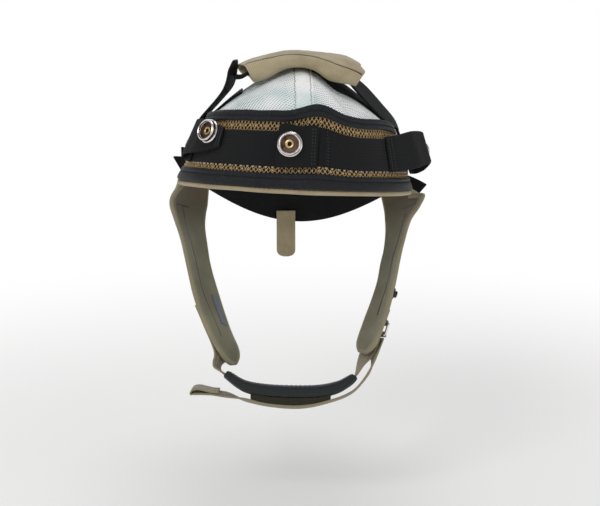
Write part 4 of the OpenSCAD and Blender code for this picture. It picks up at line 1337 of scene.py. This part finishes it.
def padRoll(k, y):
    # the right end is turned up at the back, and both ends stand a little proud of the strap
    front = ease((-y - 6) / 18)
    rise = 7.5 * ease((k - 0.15) / 0.85) * (1 - 0.85 * front) + 3.0 * ease((-k - 0.45) / 0.55)
    return Vector((8.5 * ease((k - 0.6) / 0.4) * front - 1.0 * ease((-k - 0.6) / 0.4), 0, rise))


def padSection(k, shrink=0.0):
    # a rounded, crowned section of the cushion from front to back
    half = pad["depth"] / 2 - shrink
    tall = pad["thickness"] / 2 - shrink
    crush = 1 - 0.16 * bell(k, -1, 0.35) - 0.1 * bell(k, 1, 0.3)
    ring = []
    for j in range(pad["round"]):
        a = 360 * j / pad["round"]
        c, s = cosDeg(a), sinDeg(a)
        y = half * math.copysign(abs(c) ** 0.42, c)
        lift = math.copysign(abs(s) ** 0.62, s)
        if s > 0:
            lift *= crush * (1 - 0.16 * (y / half) ** 2) - 0.14 * bell(y, -half * 0.55, 4) * bell(k, 0.1, 0.7)
        crease = 0.35 * noise.noise(Vector((k * 5, y * 0.09, s))) + 0.2 * noise.noise(
            Vector((k * 14, y * 0.3, s)))
        pull = 0.5 * noise.noise(Vector((k * 4, 1, c)))
        h = pad["thickness"] / 2 + tall * lift + (crease if s > -0.2 else 0)
        front = ease((-y - 6) / 18)
        h -= padDroop(k) * front * ease((0.5 - s) / 1.3)
        p = padPoint(k, y + pull * abs(c), h)
        ring.append(p + padRoll(k, y))
    return ring


def makePad():
    rings = [padSection(mix(-1, 1, i / pad["rows"]), 0.7) for i in range(pad["rows"] + 1)]
    sleeve = loftPiece("topPadCloth", rings, caps=False)
    thicken(sleeve, pad["sleeve"], 0.3)
    dress(sleeve, cloth["tanTwill"], "crown_pad", ["top_pad_cover"])

    def onTop(k, share, lift=0.0):
        # a point of the cushion's outer face, share counts round from the back edge over the top
        ring = padSection(k)
        j = share * pad["round"]
        p = Vector(curveAt([tuple(q) for q in ring], j))
        out = (p - padPoint(k, mix(0, (p.y - pad["middleY"]), 0.5), pad["thickness"] / 2)).normalized()
        return p + lift * out, out

    def edgeAt(k):
        return curveAt(padEdge, 4 * (k + 1))[0]
    spots = [mix(-0.985, 0.985, i / 90) for i in range(91)]
    points = [onTop(k, edgeAt(k), -0.15)[0] for k in spots]
    welt = runTube("topPadSeam", points, 0.42, 6)
    dress(welt, cloth["seamShade"], "crown_pad")
    ridge = [onTop(k, edgeAt(k) - 0.018, 0.05)[0] for k in spots]
    fold = runTube("topPadFold", ridge, 0.75, 8)
    dress(fold, cloth["tanTwill"], "crown_pad")
    seam(
        "topPadSeamStitches", lambda k: onTop(mix(-0.96, 0.96, k), edgeAt(mix(-0.96, 0.96, k)) - 0.045,
        0.1), 46, fineStitch, cloth["tanThread"], "crown_pad")
    backPoints = [onTop(mix(-0.985, 0.985, i / 90), 0.095, -0.1)[0] for i in range(91)]
    backWelt = runTube("topPadBackSeam", backPoints, 0.4, 6)
    dress(backWelt, cloth["seamShade"], "crown_pad")
    for name, k in (("Left", -0.965), ("Right", 0.965)):
        seam(
            f"topPad{name}EndStitches", lambda s, k=k: onTop(k, mix(0.06, 0.44, s), 0.1), 26,
            (1.6, 0.5, 0.4), cloth["tanThread"], "crown_pad")

    low = pad["sleeve"] + 4 + 0.4
    high = pad["thickness"] - pad["sleeve"] - 0.9
    rings = []
    for i in range(49):
        k = mix(-0.86, 0.86, i / 48)
        ring = []
        for j in range(28):
            a = 360 * j / 28
            c, s = cosDeg(a), sinDeg(a)
            y = 20.5 * math.copysign(abs(c) ** 0.4, c)
            h = (low + high) / 2 + (high - low) / 2 * math.copysign(abs(s) ** 0.5, s)
            ring.append(padPoint(k, y, h) + padRoll(k, y))
        rings.append(ring)
    filling = loftPiece("topPadFilling", rings)
    dress(filling, cloth["foam"], "crown_pad", ["top_pad_foam"])


makePad()
print("top pad ready")


def footStation(t, v, off):
    p = bandPoint(t, v, band["trimOff"] + band["binding"] + 3 * band["gap"])
    return (p.x + math.copysign(off, t), p.y, p.z, 0, pad["strapHalf"], 0)


def arcStations(angles, r):
    return [(*arcPoint(a, pad["strapY"], r), 0, pad["strapHalf"], 0) for a in angles]


def makeStraps():
    peak = head["peak"]
    half = pad["strapHalf"]
    feet = [footStation(-90, v, 1.6 + 0.6) for v in (43, 47.5, 52)]
    feet = [(*station[:3], 0.3 + 0.8 * i, *station[4:]) for i, station in enumerate(feet)]
    leg = feet + [
        (-51.4, 0, peak - 15.4, 2.4, half, 0), (-46.9, 0, peak - 1.4, 2.1, half, -1),
        (-45.0, 0, peak + 6.1, 0.7, half / 2, 0)]
    left = routeCloth("crownLegLeft", leg, 0, len(leg) - 1, 1.6, -0.8, 60, 14, 0.35, 0.35)
    dress(left, cloth["blackWebbing"], "cap", ["crown_strap_left"])
    upper = pad["radius"] + 1.4 + 0.4 + 1.6 + 0.2
    bridge = [(-45.2, -3, peak - 6.2, 0, half, 0), (-42.8, -3, peak - 7.2, 0, half, 0)]
    bridge += arcStations((-34, -28, -20, -12, -4, 4, 12, 20), upper)
    piece = routeCloth("crownBridgeWebbing", bridge, 0, len(bridge) - 1, 1.6, 0.8, 60, 10, 0.35)
    dress(piece, cloth["blackWebbing"], "cap", ["crown_bridge"])
    feet = [footStation(90, v, 0.6) for v in (52, 47.5, 43)]
    right = arcStations((-15, -7, 1, 9, 17, 25, 33, 40), pad["radius"] + 1.8)
    for i, twist in ((6, 1.2), (7, 3.6)):
        right[i] = (*right[i][:5], twist)
    right += [(56.6, 0, peak - 24.0, -1.5, half, 6.6), (67.3, 0, peak - 35.0, -1.5, half, 5.6)]
    right += [(*feet[0][:5], 1.8)] + feet[1:]
    piece = routeCloth("crownLegRight", right, 0, len(right) - 1, 1.6, 0.8, 110, 14, 0.35, 0.2)
    dress(piece, cloth["blackWebbing"], "cap", ["crown_strap_right"])

    def footSeam(route, x, off, s0=-0.88, s1=0.88):
        def place(k):
            return routePoint(route, x, mix(s0, s1, k), off), math.copysign(1, off) * routeNormal(route, x)
        return place
    for i, x in enumerate((0.2, 1.7)):
        seam(
            f"legLeftStitches{i}", footSeam(leg, x, -1.65), 10, strapStitch, cloth["greyThread"],
            "cap")
        end = len(right) - 1 - x
        seam(
            f"legRightStitches{i}", footSeam(right, end, 1.65), 10, strapStitch, cloth["greyThread"],
            "cap")

    for word, side, start, stop in (("Left", -1, 0.6, 0.93), ("Right", 1, 0.13, 0.9)):
        wide = 12.5 / head["front"]

        def rule(u, v, side=side, start=start, stop=stop, wide=wide):
            x = side * mix(start, stop, u)
            y = side * mix(-wide, wide, v) - (0.045 * bell(u, 0.3, 0.22) if side > 0 else 0)
            r = math.hypot(x, y)
            return domePoint(r, math.degrees(math.atan2(x, -y)), 1.95)
        anchor = gridPiece(f"crownAnchor{word}", rule, 34, 14)
        thicken(anchor, band["webbing"])
        dress(anchor, cloth["blackWebbing"], "cap", [f"crown_anchor_{word.lower()}"])
        for i, u in enumerate((0.08, 0.2)):
            def place(k, u=u, rule=rule):
                p = rule(u, mix(0.06, 0.94, k))
                run = rule(u + 0.03, 0.5) - rule(u - 0.03, 0.5)
                rise = run.cross(rule(u, 0.6) - rule(u, 0.4)).normalized()
                return p + 0.85 * rise, rise
            seam(
                f"anchor{word}Stitches{i}", place, 10, strapStitch, cloth["greyThread"],
                "cap")


makeStraps()
print("crown straps ready")

rear = {
    "strapWidth": 19, "leftFlare": (7, -2), "rightFlare": (18, -14), "loose": 5, "turns": 26, "tongueX": -8,
    "tongueWidth": 16, "tongueLength": 40,
}


def makeRear():
    def bandRule(u, v):
        soft = 0.2 * noise.noise(Vector((u * 16, v, 2)))
        return rearPoint(mix(98.6, 261.4, u), mix(24, 0, v), band["meshOff"] + 0.8 + soft)
    piece = gridPiece("rearBandWebbing", bandRule, 100, 14)
    thicken(piece, band["webbing"])
    dress(piece, cloth["blackWebbing"], "cap", ["rear_band"])

    def strapRule(u, v, lift=0.8):
        # its two ends stand out behind the ears
        turns, loose = rear["turns"], rear["loose"]
        i = u * turns
        right = max(0, 1 - i / loose) ** 2
        left = max(0, 1 - (turns - i) / loose) ** 2
        out = rear["rightFlare"][0] * right * mix(0.5, 1.06, v) + rear["leftFlare"][0] * left * mix(
            0.1, 1.4, v)
        rise = rear["rightFlare"][1] * right * mix(0.8, 1.4, v) + rear["leftFlare"][1] * left * mix(0, 2.2, v)
        margin = (head["rearBand"] - rear["strapWidth"]) / 2
        drop = mix(margin + rear["strapWidth"], margin, v)
        p = rearPoint(mix(106.6, 253.4, u), drop, band["meshOff"] + 1.6 + 0.25 + lift + out)
        return p + Vector((0, 0, rise))
    strap = gridPiece("rearStrapWebbing", strapRule, 120, 12)
    thicken(strap, band["webbing"])
    dress(strap, cloth["blackWebbing"], "cap", ["rear_strap"])

    def rearSeam(drop, lift):
        def place(k):
            t = mix(100, 260, k)
            p = rearPoint(t, drop, lift)
            return p, (p - rearPoint(t, drop, lift - 1)).normalized()
        return place
    for i, drop in enumerate((1.2, 22.8)):
        seam(
            f"rearBandStitches{i}", rearSeam(drop, 3.1), 84, (2.0, 0.55, 0.4), cloth["greyThread"],
            "cap")
    for i, t in enumerate((128, 129.5, 178, 180, 231, 232.5)):
        def place(k, t=t):
            drop = mix(4, 20, k)
            p = rearPoint(t, drop, band["meshOff"] + 3.5)
            return p, (p - rearPoint(t, drop, 1)).normalized()
        seam(
            f"rearBarStitches{i}", place, 9, (1.7, 0.6, 0.45), cloth["greyThread"], "cap",
            0.5)

    wide, long = rear["tongueWidth"], rear["tongueLength"]
    reach = wide / 2 + abs(rear["tongueX"])
    top = head["napeHeight"] - head["rearBand"] + 10
    y = head["rear"] * math.sqrt(1 - (reach / head["halfWidth"]) ** 2) + band["meshOff"] - 1.6 - 0.5 + 0.8

    def tongueRule(u, v):
        drop = (1 - v) * long
        late = max(0, drop - (long - 6)) / 6
        half = wide / 2 - 6 * (1 - math.sqrt(max(0, 1 - late * late)))
        return Vector((rear["tongueX"] - mix(-half, half, u), y + 0.25 * math.sin(drop * 0.2), top - drop))
    tongue = gridPiece("napeTongueTwill", tongueRule, 16, 40)
    thicken(tongue, band["webbing"])
    dress(tongue, cloth["tanTwill"], "cap", ["nape_tongue"])

    def tongueSeam(side):
        def place(k):
            p = tongueRule(0.5 + side * 0.38, mix(0.1, 0.72, k))
            return p + Vector((0, 0.85, 0)), Vector((0, 1, 0))
        return place
    for i, side in enumerate((-1, 1)):
        seam(
            f"tongueStitches{i}", tongueSeam(side), 11, fineStitch, cloth["tanThread"],
            "cap")


makeRear()
print("rear ready")

chin = {
    "halfWidth": 10, "tilt": 25, "y": -51, "z": -145.5, "strap": 1.4, "padWidth": 27, "cover": 1.2,
    "foam": 4.5,
    "padLine": [(-52.5, 17), (-43, 9.4), (-34, 5.2), (-18, 2.5), (1, 1.6), (18, 2.2), (30, 4.8), (38, 8.6),
    (46, 15.4)],
    "tailLine": [(-38, -1.6), (-26, -4.6), (-14, -6.4), (-2, -7.2), (9, -6.7), (24, -3.6), (40, 2),
    (50, 10), (59.6, 25)],
}


def chinPoint(x, s):
    return Vector((x, chin["y"] + s * sinDeg(chin["tilt"]), chin["z"] + s * cosDeg(chin["tilt"])))


def chinStation(x, s, half, extra=(0, 0, 0, 0, 0, 0)):
    p = chinPoint(x, s)
    across = Vector((0, cosDeg(chin["tilt"]), -sinDeg(chin["tilt"]))) * half
    return tuple(a + b for a, b in zip((*p, *across), extra))


def chinStrapRoute():
    half = chin["halfWidth"]
    route = []
    for row in (13, 15, 17):
        p = flapFace(-1, row, 0.42, 2 * band["gap"] + chin["strap"])
        across = (flapLine(-1, row, 1) - flapLine(-1, row, 0)).normalized() * half
        route.append((*p, *across))
    route += [
        chinStation(-59.2, 27, half, (0, 0, 0, 2.4, 0, 0)),
        chinStation(-59, 22, half, (0, 0, 0, 1.6, 0, 0))]
    route += [chinStation(x, s, half) for x, s in chin["padLine"]]
    route.append(chinStation(51, 26, half, (0, 1, 0, -2, 0, 2)))
    route.append((56.3, -31.5, -114, -4, 9.2, 0))
    across = Vector(loop["across"]) * half
    for a in (-20, 20, 55, 90, 125, 160, 190):
        route.append((*loopPoint(-loop["fold"] * cosDeg(a), 0, loop["fold"] * sinDeg(a)), *across))
    return route


def chinTailRoute():
    half = chin["halfWidth"]
    route = [(*chinPoint(-76.5, 4.1), 0, half, -half * 0.2), (*chinPoint(-63, 3.8), 0, half, -half * 0.2)]
    route.append((*chinPoint(-51, 2), 0, half * 0.98, -half * 0.2))
    route += [chinStation(x, s, half) for x, s in chin["tailLine"]]
    start = loopPoint(loop["fold"] * cosDeg(12) + 0.6, 0, -loop["fold"] * sinDeg(12) - 1)
    route.append((*start, *(Vector(loop["across"]) * half)))
    return route


def makeChin():
    route = chinStrapRoute()
    strap = routeCloth("chinStrapWebbing", route, 0, len(route) - 1, chin["strap"], 0.7, 200, 12, 0.35, 0.15)
    dress(strap, cloth["tanWebbing"], "cap", ["chin_strap"])

    side = chin["padWidth"] / 2 - chin["halfWidth"]
    rings = []
    rows = 84
    for i in range(rows + 1):
        k = i / rows
        x = mix(5, 13, k)
        q = curveAt(route, x)
        half = Vector(q[3:]).normalized()
        reach = Vector(q[3:]).length + side - 0.6
        ridge = 0.22 * math.cos(2 * math.pi * k * 40)
        fill = max(0, math.sin(math.pi * k)) ** 0.6
        high = 4.0 + 4.1 * fill + ridge - 0.6
        low = -1.6 + 0.6
        out = routeNormal(route, x)
        pinch = 1 - 0.1 * (1 - fill)
        ring = []
        for j in range(44):
            a = 360 * j / 44
            c, s = cosDeg(a), sinDeg(a)
            y = reach * pinch * math.copysign(abs(c) ** 0.5, c)
            tall = (low + high) / 2 + (high - low) / 2 * math.copysign(abs(s) ** 0.7, s)
            tall -= 0.9 * fill * (y / reach) ** 2 if s > 0 else 0
            ring.append(routePoint(route, x, 0, 0) + y * half + tall * out)
        rings.append(ring)
    cover = loftPiece("chinPadKnit", rings, caps=False)
    thicken(cover, chin["cover"], 0.3)
    dress(cover, cloth["padBlack"], "cap", ["chin_pad_cover"])
    rings = []
    for i in range(57):
        x = mix(5.6, 12.4, i / 56)
        q = curveAt(route, x)
        half = Vector(q[3:]).normalized()
        out = routeNormal(route, x)
        fill = max(0, math.sin(math.pi * (x - 5) / 8)) ** 0.6
        low, high = chin["strap"] + 0.3, 4.0 + 4.1 * fill - 1.9
        ring = []
        for j in range(24):
            a = 360 * j / 24
            c, s = cosDeg(a), sinDeg(a)
            y = 9.6 * math.copysign(abs(c) ** 0.5, c)
            tall = (low + high) / 2 + (high - low) / 2 * math.copysign(abs(s) ** 0.6, s)
            ring.append(routePoint(route, x, 0, 0) + y * half + tall * out)
        rings.append(ring)
    filling = loftPiece("chinPadFilling", rings)
    dress(filling, cloth["foam"], "cap", ["chin_pad_foam"])

    tail = chinTailRoute()
    piece = routeCloth("chinTailWebbing", tail, 0, len(tail) - 1, chin["strap"], 0.7, 170, 12, 0.35, 0.12)
    dress(piece, cloth["tanWebbing"], "chin_tail_body", ["chin_tail"])
    hemLine = ((-57, 5.3), (-62, 5.7), (-67, 6.8), (-72, 7.9), (-75.8, 7.4), (-77.3, 5.6), (-76.6, 4.4))
    wide = chin["halfWidth"]
    hemRoute = [(*chinPoint(x, s), 0, wide, -wide * 0.2) for x, s in reversed(hemLine)]
    hem = routeCloth("tailHemWebbing", hemRoute, 0, len(hemRoute) - 1, 1.2, 0.6, 44, 12)
    dress(hem, cloth["tanWebbing"], "chin_tail_body", ["tail_end_hem"])
    for i, x in enumerate((5.3, 5.7)):
        def place(k, x=x):
            return routePoint(hemRoute, x, mix(-0.88, 0.88, k), 1.25), routeNormal(hemRoute, x)
        seam(
            f"hemStitches{i}", place, 9, fineStitch, cloth["tanThread"],
            "chin_tail_body")

    def lineAt(line, x):
        for (x0, s0), (x1, s1) in zip(line, line[1:]):
            if x <= x1:
                return mix(s0, s1, (x - x0) / (x1 - x0))
        return line[-1][1]
    across = Vector((0, cosDeg(chin["tilt"]), -sinDeg(chin["tilt"])))
    rings = []
    for i in range(61):
        x = mix(-33, 27, i / 60)
        low = lineAt(chin["tailLine"], x) + chin["strap"] + 0.35
        high = lineAt(chin["padLine"], x) - 1.6 - 0.45
        ring = []
        for y, s in (
            (-9.5, low), (-9.7, (low + high) / 2), (-9.5, high), (9.5, high), (9.7, (low + high) / 2),
            (9.5, low)):
            rough = 0.12 * noise.noise(Vector((x * 1.3, y, s)))
            ring.append(chinPoint(x, s) + (y + rough) * across)
        rings.append(ring)
    tape = loftPiece("chinHookRows", rings)
    dress(tape, cloth["hookTape"], "cap", ["chin_hook_tape"])


makeChin()
print("chin strap ready")
